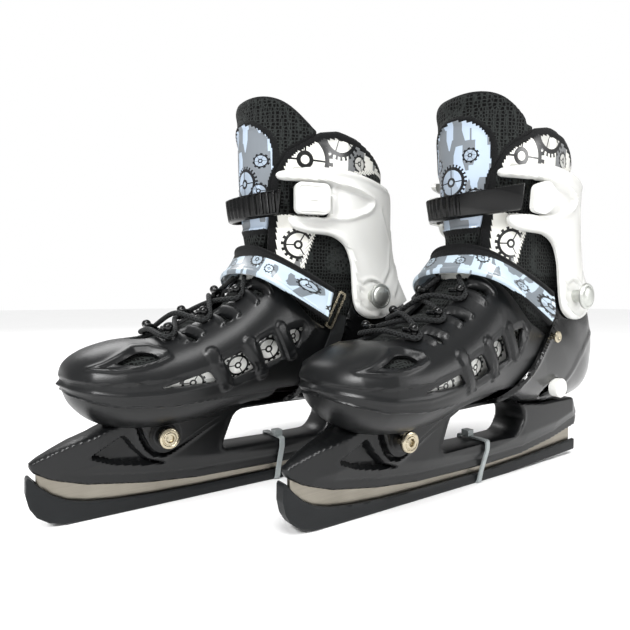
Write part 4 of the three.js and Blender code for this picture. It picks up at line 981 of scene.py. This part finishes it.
def make_tongue():
    piece = shell("tongue_pad", (0.14, 1.0), 1.5, 220, tongue_inside, tongue_growth, 3.2, edge=1.4,
                  a_range=(-2.2, 2.2), flat="front")
    mesh = piece.data
    for material in (MESH, PANEL, BINDING):
        mesh.materials.append(material)
    centres = np.array([face.center for face in mesh.polygons]) / MM
    across = centres[:, 1] - lean(centres[:, 0])
    panel = signed(across, centres[:, 2], TONGUE_PANEL)
    kind = np.where((panel > 0) & (centres[:, 0] > -95), 1,
                    np.where((panel > -3.4) & (centres[:, 0] > -95), 2, 0))
    kind = np.where((signed(centres[:, 0], centres[:, 2], TONGUE_SIDE) < 2.5) & (centres[:, 2] > 200), 2,
                    kind)
    for face, value in zip(mesh.polygons, kind):
        face.material_index = int(value)
    place(piece, "tongue_pad", None, "liner_fabric", None, ["tongue"], bend=(140, 172), fill=0.5)


# ---------------------------------------------------------------- edit-mode tools
def start_cube(x, y, z, wide, deep, tall):
    """A cube primitive of this size with its middle at x, y, z, left in edit mode with faces selectable."""
    bpy.ops.object.select_all(action="DESELECT")
    bpy.ops.mesh.primitive_cube_add(size=1)
    piece = bpy.context.object
    piece.data.transform(Matrix.Diagonal((wide * MM, deep * MM, tall * MM, 1)))
    piece.data.transform(Matrix.Translation((x * MM, y * MM, z * MM)))
    bpy.ops.object.mode_set(mode="EDIT")
    bpy.ops.mesh.select_mode(type="FACE")
    bpy.ops.mesh.select_all(action="DESELECT")
    return piece


def pick(piece, chosen):
    """Selects the parts of a mesh for which chosen gives True, in edit mode."""
    shape = bmesh.from_edit_mesh(piece.data)
    bpy.ops.mesh.select_all(action="DESELECT")
    for face in shape.faces:
        face.select_set(bool(chosen(face)))
    shape.select_flush_mode()
    bmesh.update_edit_mesh(piece.data)


def bevel_modifier(piece, width, segments, limit=30):
    modifier = piece.modifiers.new("edges", "BEVEL")
    modifier.width = width * MM
    modifier.segments = segments
    modifier.limit_method = "ANGLE"
    modifier.angle_limit = math.radians(limit)
    bpy.context.view_layer.objects.active = piece
    bpy.ops.object.modifier_apply(modifier=modifier.name)


def drawn_bar(sections, half):
    """A bar pulled out face by face through sections of x, low z and high z, half wide to each side."""
    x, low, high = sections[0]
    piece = start_cube(x + 0.5, 0, (low + high) / 2, 1, 2 * half, high - low)
    pick(piece, lambda face: face.normal.x > 0.9)
    middle, tall, at = (low + high) / 2, high - low, x + 1
    for x, low, high in sections[1:]:
        step = ((x - at) * MM, 0, ((low + high) / 2 - middle) * MM)
        bpy.ops.mesh.extrude_region_move(TRANSFORM_OT_translate={"value": step})
        middle, at = (low + high) / 2, x
        bpy.ops.transform.resize(value=(1, 1, (high - low) / tall),
                                 center_override=(x * MM, 0, middle * MM))
        tall = high - low
    bpy.ops.mesh.select_all(action="SELECT")
    bpy.ops.mesh.normals_make_consistent(inside=False)
    bpy.ops.object.mode_set(mode="OBJECT")
    return piece


# ---------------------------------------------------------------- relief plates, seen from the side
def relief(name, low, high, step, inside, thickness, edge=0.8, angle=35, back=None):
    """A plate standing on its edge, with thickness(x, z) to each side of the blade's plane."""
    xs = np.arange(low[0], high[0] + step, step)
    zs = np.arange(low[1], high[1] + step, step)

    def outer(x, z, drop):
        return np.stack([x, thickness(x, z) - drop, z], -1)

    def inner(x, z):
        depth = inside(x, z)
        near = edge * (1 - np.sqrt(1 - (1 - np.clip(depth / edge, 0, 1)) ** 2)) if edge else 0
        y = -(thickness(x, z) - near) if back is None else back(x, z)
        return np.stack([x, y, z], -1)

    return skin(name, xs, zs, inside, outer, inner, False, edge, lambda x, z: np.stack([x, z], -1), angle)


HOLDER_LOW = [(-206, 28), (-174, 19), (-134, 13.5), (-92, 12.5), (-24, 13.5), (10, 16.5), (44, 22),
              (64, 28.5), (72, 33)]
HOLDER_SIDE = [(74, 36), (74, 38.5), (70, 41), (62, 44.5), (53, 48), (42, 51), (33, 54.5), (20, 58),
               (-40, 62), (-50, 61.5),
               (-110, 59), (-124, 54.5), (-150, 51.5), (-196, 51), (-204, 46), (-212, 38), (-213, 33),
               (-207, 26)]
HOLDER_WINDOW = rounded([(-39, 31), (-50, 56.5), (-120, 57.5), (-130, 45), (-121, 31)], 7)
POCKET = rounded([(44, 39), (24, 50.5), (19, 43), (11, 34), (-4, 28), (12, 29.3), (30, 33)], 3)
LUG_RIM = [(19.5, 60), (15.5, 46), (12, 39), (7, 34.5), (0, 33), (-6, 35), (-26, 46), (-52, 62)]


def holder_outline():
    return np.array([*HOLDER_LOW[1:], *HOLDER_SIDE, ])


def holder_inside(x, z):
    return np.minimum(signed(x, z, holder_outline()), -signed(x, z, HOLDER_WINDOW))


def holder_half(x, z):
    plan = np.interp(x, [-214, -205, -196, -130, -84, -40, 10, 38, 58, 74],
                     [5, 8, 12, 13, 10.5, 12, 13, 12, 7.5, 3.2])
    foot = 6.8 + 6 * smooth_step(z - height_on(HOLDER_LOW, x), 2, 20)
    half = np.minimum(plan, foot + 0.4)
    pocket = signed(x, z, POCKET)
    half = half - 6.8 * smooth_step(pocket, -0.1, 1.6)
    rim = away(x, z, LUG_RIM)
    lug = signed(x, z, np.array([*LUG_RIM, (-52, 90), (20, 90)]))
    half = half + 1.3 * swell(rim, 1.6) - 3.0 * smooth_step(lug, 0.2, 1.4)
    half = half - 0.5 * swell(z - height_on(HOLDER_LOW, x) - 6, 0.9) * smooth_step(50 - x, 0, 15)
    window = -signed(x, z, HOLDER_WINDOW)
    return half + 0.5 * swell(window - 1.5, 1.5)


def make_holder():
    piece = relief("holder_moulding", (-215, 10), (76, 64), 1.05, holder_inside, holder_half, edge=1.6)
    place(piece, "holder_moulding", "skate", "matte_black", MATTE, ["blade_holder"])


BLADE_LOW = [(71, 28), (67, 17), (59, 9), (48, 5), (31, 4.1), (-122, 4.1), (-208, 8.1)]
GUARD_TOP = [(74, 31), (72.5, 29), (68, 24), (62, 18.5), (54, 14.2), (44, 11.4), (28, 9.2), (4, 7.6),
             (-25, 7), (-93, 6.8), (-150, 9), (-213, 13)]


def make_blade():
    low_line, high_line = sorted(BLADE_LOW), [(x, z + 10) for x, z in HOLDER_LOW]
    xs = [-208, -190, -165, -134, -122, -92, -60, -24, 10, 31, 40, 48, 54, 59, 63, 66, 68.5, 70.5]
    sections = [(x, float(height_on(low_line, x)), float(height_on(high_line, x))) for x in xs]
    sections[-1] = (70.5, 26.5, 34)
    piece = drawn_bar(sections, 1.5)
    bevel_modifier(piece, 0.25, 2, 40)
    smooth(piece, 30)
    place(piece, "steel_blade", "skate", "blade_steel", STEEL, ["blade"])


def make_guard():
    outline = np.array([*GUARD_TOP, (-213, 4), (-122, 0.0), (46, 0.0), (56, 0.5), (64, 3), (70.5, 7.5),
                        (74.3, 13.5),
                        (76, 21), (75.8, 31)])
    trough = np.array([(71.5, 60), *[(x + 0.5, z - 0.3) for x, z in BLADE_LOW[:-1]], (-217, 7.8),
                       (-217, 60)])
    whole = relief("guard_wall", (-214, 0), (77, 31), 1.1, lambda x, z: signed(x, z, outline),
                   lambda x, z: np.full_like(x, 4.4), edge=0.7,
                   back=lambda x, z: np.where(signed(x, z, trough) > 0, 2.1, 0.0))
    other = whole.copy()
    other.data = whole.data.copy()
    bpy.context.scene.collection.objects.link(other)
    other.data.transform(Matrix.Scale(-1, 4, (0, 1, 0)))
    other.data.flip_normals()
    piece = joined([whole, other], "guard_strip")
    place(piece, "guard_strip", "skate", "guard_black", GUARD, ["blade_guard"])


# ---------------------------------------------------------------- turned metal parts
def turned(name, profile, x, y, z, direction=1, sides=48):
    """A part turned about an axis across the skate: profile is radius and height outwards, in mm."""
    bpy.ops.object.select_all(action="DESELECT")
    bpy.ops.mesh.primitive_circle_add(vertices=sides, radius=profile[0][0] * MM, fill_type="NGON")
    piece = bpy.context.object
    piece.name = name
    bpy.ops.object.mode_set(mode="EDIT")
    bpy.ops.mesh.select_all(action="SELECT")
    radius, height = profile[0]
    for next_radius, next_height in profile[1:]:
        bpy.ops.mesh.extrude_region_move(TRANSFORM_OT_translate={"value": (0, 0,
                (next_height - height) * MM)})
        scale = next_radius / radius
        bpy.ops.transform.resize(value=(scale, scale, 1), center_override=(0, 0, next_height * MM))
        radius, height = next_radius, next_height
    bpy.ops.mesh.select_all(action="SELECT")
    bpy.ops.mesh.normals_make_consistent(inside=False)
    bpy.ops.object.mode_set(mode="OBJECT")
    piece.data.transform(Matrix.Rotation(math.radians(-90 * direction), 4, "X"))
    piece.data.transform(Matrix.Translation((x * MM, y * MM, z * MM)))
    smooth(piece, 30)
    return piece


def make_fasteners():
    head = [(3.2, -6), (3.2, 0), (6.5, 0), (6.5, 1.9), (6.2, 2.5), (5.7, 2.8), (4.9, 2.9), (4.5, 2.6),
            (4.0, 2.6), (3.6, 3.1),
            (3.1, 3.2), (2.5, 3.1), (2.2, 2.2), (2.0, 1.2), (0.4, 1.0)]
    bolt = turned("bolt_head", head, 0, 15.8, BOLT_HEIGHT)
    place(bolt, "bolt_head", "skate", "bolt_metal", BOLT, ["front_bolt"])
    nut = turned("nut_head", head, 0, -15.8, BOLT_HEIGHT, -1)
    place(nut, "nut_head", "skate", "bolt_metal", BOLT, ["front_nut"])
    dome = [(4.6, -9), (4.6, 0.4), (9.2, 0.4), (9.2, 1.4), (8.9, 2.0), (8.2, 2.4), (7.6, 2.45),
            (7.2, 2.2), (6.6, 2.9), (5.2, 3.5),
            (3.2, 3.9), (0.5, 4.0)]
    for name, direction in (("lateral", 1), ("medial", -1)):
        y = direction * (side_of(*PIVOT, CUFF_LIFT) - 0.6)
        rivet = turned(f"{name}_rivet_dome", dome, PIVOT[0], y, PIVOT[1], direction)
        place(rivet, f"{name}_rivet_dome", "skate", "rivet_silver", RIVET, [f"{name}_pivot_rivet"])
    y = -side_of(*SIZE_BUTTON, HEEL_LIFT) - 2.2
    button = turned("size_button_cap", [(6.6, -6.4), (6.9, -0.8), (6.8, -0.3), (6.4, 0), (3, 0.15),
                                        (0.5, 0.2)],
                    SIZE_BUTTON[0], y, SIZE_BUTTON[1], -1)
    place(button, "size_button_cap", "size_button", "cuff_white", WHITE, ["size_button"])
    low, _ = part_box("left_strap_rivet")
    y = low.y / MM - PLACES["left"][1] + 1.6
    stud = turned("strap_stud", [(2, -4), (2, 0), (4, 0), (4, 0.9), (3.5, 1.4), (2.2, 1.6), (1.4, 1.3),
                                 (0.3, 1.2)],
                  STRAP_STUD[0], y, STRAP_STUD[1], -1)
    place(stud, "strap_stud", "skate", "bolt_metal", BOLT, ["strap_rivet"])


LUG = rounded([(16, 55.5), (12, 50), (10.4, 43), (6, 38), (0, 36.2), (-5.5, 37.6), (-24, 48),
               (-40, 55.5)], 3)


def make_lugs():
    ears = []
    for direction in (1, -1):
        ear = relief("lug", (-42, 35), (18, 57), 0.8, lambda x, z: signed(x, z, LUG),
                     lambda x, z: 15.75 - 0.8 * swell(np.hypot(x, z - BOLT_HEIGHT) - 8.6, 0.9), edge=0.7,
                     back=lambda x, z: np.full_like(x, 9.8))
        if direction < 0:
            ear.data.transform(Matrix.Scale(-1, 4, (0, 1, 0)))
            ear.data.flip_normals()
        ears.append(ear)
    piece = joined(ears, "lug_plates")
    place(piece, "lug_plates", "skate", "matte_black", MATTE)


# ---------------------------------------------------------------- lace and hooks
LACE_RADIUS = 1.7


def lace_route():
    reach = 1.5 + LACE_RADIUS + 0.9

    def over(x, y, lift):
        return (x, y, top_of(x, y) + LACE_RADIUS + lift)

    def around(i, side, way):
        x, y = HOOKS[i]
        for degrees in (10, 50, 90, 130, 170):
            angle = math.radians(degrees)
            px = x - way * reach * math.cos(angle)
            yield over(px, lean(x) + side * (y + reach * math.sin(angle)), 1.2)

    def middle(x, lift):
        return over(x, float(lean(x)), lift)

    def gap(i):
        return HOOKS[i][0] - 11.75

    def tail(side):
        x = HOOKS[2][0] - 11
        return over(x, float(lean(x)) + side * 8, 2)

    low, high = 1.6, 2 * LACE_RADIUS + 2.6
    return [tail(1), *around(2, 1, 1), middle(gap(1), low), *around(1, -1, 1), middle(gap(0), low),
            *around(0, 1, 1),
            middle(HOOKS[0][0] + 5, low), *around(0, -1, -1), middle(gap(0), high), *around(1, 1, -1),
            middle(gap(1), high),
            *around(2, -1, -1), tail(-1)]


def tube(name, path, radius, sides=14, flatness=1.0):
    """A tube along a path with its ends closed. Its pattern runs round the tube and along its length."""
    path = np.asarray(path, float)
    way = np.gradient(path, axis=0)
    way /= np.linalg.norm(way, axis=1, keepdims=True)
    run = np.concatenate([[0], np.cumsum(np.linalg.norm(np.diff(path, axis=0), axis=1))])
    up = np.array([0.0, 0.0, 1.0])
    points, flat = [], []
    for place_at, direction, length in zip(path, way, run):
        across = np.cross(direction, up)
        across /= np.linalg.norm(across)
        rise = np.cross(across, direction)
        for i in range(sides):
            angle = 2 * math.pi * i / sides
            points.append(place_at + radius * (math.cos(angle) * across + math.sin(angle) * rise * flatness))
            flat.append((i / sides / MM, length))
    faces = [[r * sides + i, r * sides + (i + 1) % sides, (r + 1) * sides + (i + 1) % sides,
              (r + 1) * sides + i]
             for r in range(len(path) - 1) for i in range(sides)]
    faces += [list(range(sides))[::-1], list(range((len(path) - 1) * sides, len(path) * sides))]
    return new_piece(name, points, faces, flat)


def make_lacing():
    route = lace_route()
    path = spline(route, np.linspace(0, 1, 260))
    laces = place(tube("braided_cord", path, LACE_RADIUS), "braided_cord", "toe_box", "lace_black", LACE,
                  ["lace"])
    for side, (x, y, mirror) in PLACES.items():
        points = [((px + x) * MM, (mirror * py + y) * MM, pz * MM) for px, py, pz in path]
        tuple(points[0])


make_lacing()


def hook_body(x, y, side):
    """A lace hook: a small moulded arch over the cord with a ball-headed stud beside it."""
    place_y = float(lean(x)) + side * y
    base = top_of(x, place_y)
    bpy.ops.object.select_all(action="DESELECT")
    bpy.ops.mesh.primitive_cube_add(size=1, location=(0, 0, 0))
    arch = bpy.context.object
    bpy.ops.object.mode_set(mode="EDIT")
    bpy.ops.transform.resize(value=(5.6 * MM, 7.5 * MM, 3.2 * MM))
    bpy.ops.mesh.bevel(offset=1.1 * MM, segments=3, affect="EDGES")
    bpy.ops.object.mode_set(mode="OBJECT")
    arch.data.transform(Matrix.Translation((x * MM, (place_y - side * 3.4) * MM, (base + 5.6) * MM)))
    bpy.ops.mesh.primitive_uv_sphere_add(segments=20, ring_count=14, radius=3.1 * MM)
    ball = bpy.context.object
    bpy.ops.object.mode_set(mode="EDIT")
    bpy.ops.mesh.select_all(action="DESELECT")
    bpy.ops.object.mode_set(mode="OBJECT")
    for face in ball.data.polygons:
        face.select = face.center.z < -2.4 * MM
    bpy.ops.object.mode_set(mode="EDIT")
    bpy.ops.mesh.select_mode(type="FACE")
    bpy.ops.mesh.extrude_region_move(TRANSFORM_OT_translate={"value": (0, 0, -5 * MM)})
    bpy.ops.object.mode_set(mode="OBJECT")
    ball.data.transform(Matrix.Translation((x * MM, (place_y + side * 0.6) * MM, (base + 6.6) * MM)))
    return [arch, ball]


def make_hooks():
    for side, name in ((1, "lateral"), (-1, "medial")):
        parts = [part for x, y in HOOKS for part in hook_body(x, y, side)]
        piece = joined(parts, f"{name}_hook_row")
        smooth(piece, 40)
        place(piece, f"{name}_hook_row", "toe_box", "gloss_black", GLOSS, [f"{name}_hooks"])


# ---------------------------------------------------------------- straps
STRAP_HIGH = np.array([along_boot(0.37), 160.0])
STRAP_WAY = (STRAP_HIGH - STRAP_LOW) / np.linalg.norm(STRAP_HIGH - STRAP_LOW)


def on_strap(x, z):
    """Distance along the instep strap's slope, and across it."""
    dx, dz = x - STRAP_LOW[0], z - STRAP_LOW[1]
    return dx * STRAP_WAY[0] + dz * STRAP_WAY[1], -dx * STRAP_WAY[1] + dz * STRAP_WAY[0]


def strap_inside(x, y, z):
    along, across = on_strap(x, z)
    end = np.where(y > 0, along, along + 8 - 0.03 * across ** 2)
    return np.minimum(12.5 - np.abs(across), end)


def strap_growth(x, y, z):
    depth = strap_inside(x, y, z)
    return STRAP_LIFT + 0.7 * swell(depth - 1.8, 1.4) - 0.25 * swell(depth - 3.8, 0.5)


def make_instep_strap():
    piece = shell("instep_band", (0.3, 0.85), 0.9, 560, strap_inside, strap_growth, 1.8, edge=0.9,
                  a_range=(-2.3, 2.3),
                  flat="band")
    mesh = piece.data
    for material in (STRAP, BINDING):
        mesh.materials.append(material)
    centres = np.array([face.center for face in mesh.polygons]) / MM
    depth = strap_inside(*centres.T)
    for face, value in zip(mesh.polygons, depth < 3.6):
        face.material_index = int(value)
    place(piece, "instep_band", "skate", "strap_print", None, ["instep_strap"])


LADDER_FALL = 0.27


def ladder_height(x):
    return LADDER_HEIGHT - (x - LADDER_X) * LADDER_FALL


def ladder_inside(x, y, z):
    band = 8.6 - np.abs(z - ladder_height(x))
    end = np.where(y > lean(x), x + 81, x + 92)
    return np.minimum(band, end)


LADDER_RING = last(np.full(400, 0.84), np.linspace(-2.4, 2.4, 400), 11)
LADDER_TURN = np.unwrap(np.arctan2(LADDER_RING[:, 1], LADDER_RING[:, 0] + 110))
LADDER_RUN = np.concatenate([[0], np.cumsum(np.linalg.norm(np.diff(LADDER_RING, axis=0), axis=1))])


def ladder_growth(x, y, z):
    depth = ladder_inside(x, y, z)
    run = np.interp(np.arctan2(y, x + 110), LADDER_TURN, LADDER_RUN - LADDER_RUN[200])
    ribbed = smooth_step(run, -12, -10) * (depth > 1.2)
    tooth = (run / 4.6) % 1
    raised = smooth_step(tooth, 0.05, 0.3) * smooth_step(-tooth, -0.75, -0.5)
    return LADDER_LIFT + ribbed * (1.5 * raised - 1.0)


def make_ladder():
    piece = shell("ladder_band", (0.62, 0.97), 0.8, 900, ladder_inside, ladder_growth, 2.5, edge=0.7,
                  a_range=(-2.0, 2.0), angle=25)
    place(piece, "ladder_band", "cuff", "gloss_black", GLOSS, ["ladder_strap"])


# ---------------------------------------------------------------- buckle lever
def make_lever():
    piece = start_cube(0.1, 9.4, 0, 24.6, 5.6, 20.8)
    shape = bmesh.from_edit_mesh(piece.data)
    bpy.ops.mesh.select_mode(type="EDGE")
    for edge in shape.edges:
        edge.select_set(abs(edge.verts[0].co.y - edge.verts[1].co.y) > 4 * MM)
    bmesh.update_edit_mesh(piece.data)
    bpy.ops.mesh.bevel(offset=4.2 * MM, segments=5, affect="EDGES")
    bpy.ops.mesh.select_mode(type="FACE")
    pick(piece, lambda face: face.normal.y < -0.9)
    bpy.ops.mesh.inset(thickness=1.4 * MM)
    bpy.ops.mesh.extrude_region_move(TRANSFORM_OT_translate={"value": (0, 3.4 * MM, 0)})
    pick(piece, lambda face: face.normal.y > 0.9)
    bpy.ops.mesh.inset(thickness=1.5 * MM)
    bpy.ops.mesh.extrude_region_move(TRANSFORM_OT_translate={"value": (0, 0.9 * MM, 0)})
    bpy.ops.mesh.inset(thickness=0.9 * MM)
    bpy.ops.mesh.extrude_region_move(TRANSFORM_OT_translate={"value": (0, -0.6 * MM, 0)})
    bpy.ops.mesh.inset(thickness=1.2 * MM)
    bpy.ops.transform.resize(value=(0.3, 1, 0.22))
    bpy.ops.mesh.extrude_region_move(TRANSFORM_OT_translate={"value": (0, 0.7 * MM, 0)})
    bpy.ops.object.mode_set(mode="OBJECT")
    bevel_modifier(piece, 0.35, 3)
    smooth(piece, 50)
    front, rear = (side_of(x, LADDER_HEIGHT, BUCKLE_LIFT) for x in (-82.5, -109.5))
    piece.data.transform(Matrix.Rotation(-math.atan2(rear - front, 27), 4, "Z"))
    low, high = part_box("left_buckle_lever")
    middle = (low + high) / 2
    x, y, _ = PLACES["left"]
    piece.data.transform(Matrix.Translation((middle.x - x * MM, high.y - y * MM - 0.0136, middle.z)))
    place(piece, "lever", "buckle_lever", "cuff_white", WHITE, ["buckle_lever"])


# ---------------------------------------------------------------- frame nodes that keep their shape
def coat_nodes():
    kept = {"guard_tie": TIE, "sole_plate": MATTE, "rear_screw": BOLT, "insole": MESH,
            "buckle_base": GLOSS, "lever_pin": BOLT, "strap_anchor": WHITE, "strap_webbing": WEBBING,
            "strap_ring": BOLT}
    for side in PLACES:
        for name, material in kept.items():
            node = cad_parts[f"{side}_{name}"]
            node.data.materials.clear()
            node.data.materials.append(material)
            smooth(node, 30)


def make_stage():
    bpy.ops.object.select_all(action="DESELECT")
    bpy.ops.mesh.primitive_plane_add(size=12)
    floor = bpy.context.object
    floor.name = "floor"
    floor.data.transform(Matrix.Translation((0, 0, -0.0002)))
    floor.data.materials.append(pale_floor())
    bpy.context.scene.view_settings.view_transform = "Standard"
    world = bpy.data.worlds.new("studio")
    bpy.context.scene.world = world
    world.use_nodes = True
    dim = world.node_tree.nodes["Background"]
    dim.inputs["Color"].default_value = linear("#ffffff")
    dim.inputs["Strength"].default_value = 0.4
    seen = world.node_tree.nodes.new("ShaderNodeBackground")
    either = world.node_tree.nodes.new("ShaderNodeMixShader")
    ray = world.node_tree.nodes.new("ShaderNodeLightPath")
    for start, end in ((ray.outputs["Is Camera Ray"], either.inputs[0]), (dim.outputs[0], either.inputs[1]),
                       (seen.outputs[0], either.inputs[2]),
                       (either.outputs[0], world.node_tree.nodes["World Output"].inputs["Surface"])):
        world.node_tree.links.new(start, end)
    seen.inputs["Color"].default_value = linear("#ffffff")
    seen.inputs["Strength"].default_value = 1.0
    lamps = (("SUN", "sky", (0.35, 0.75, 1.6), 0.5, 2.1), ("AREA", "key", (1.0, 0.6, 0.9), 0.25, 16),
             ("AREA", "side", (-0.9, 1.2, 0.5), 0.5, 6), ("AREA", "rim", (0.1, -1.3, 1.2), 0.8, 9))
    for kind, name, where, size, power in lamps:
        lamp = bpy.data.lights.new(name, kind)
        lamp.energy = power
        if kind == "SUN":
            lamp.angle = size
        else:
            lamp.size = size
        holder = bpy.data.objects.new(name, lamp)
        bpy.context.scene.collection.objects.link(holder)
        holder.location = where
        holder.rotation_euler = (Vector((0, 0, 0.12)) - Vector(where)).to_track_quat("-Z", "Y").to_euler()


make_hooks()
make_toe_box()
make_heel()
make_cuff()
make_liner()
make_tongue()
make_holder()
make_blade()
make_guard()
make_lugs()
make_fasteners()
make_instep_strap()
make_ladder()
make_lever()
coat_nodes()
make_stage()
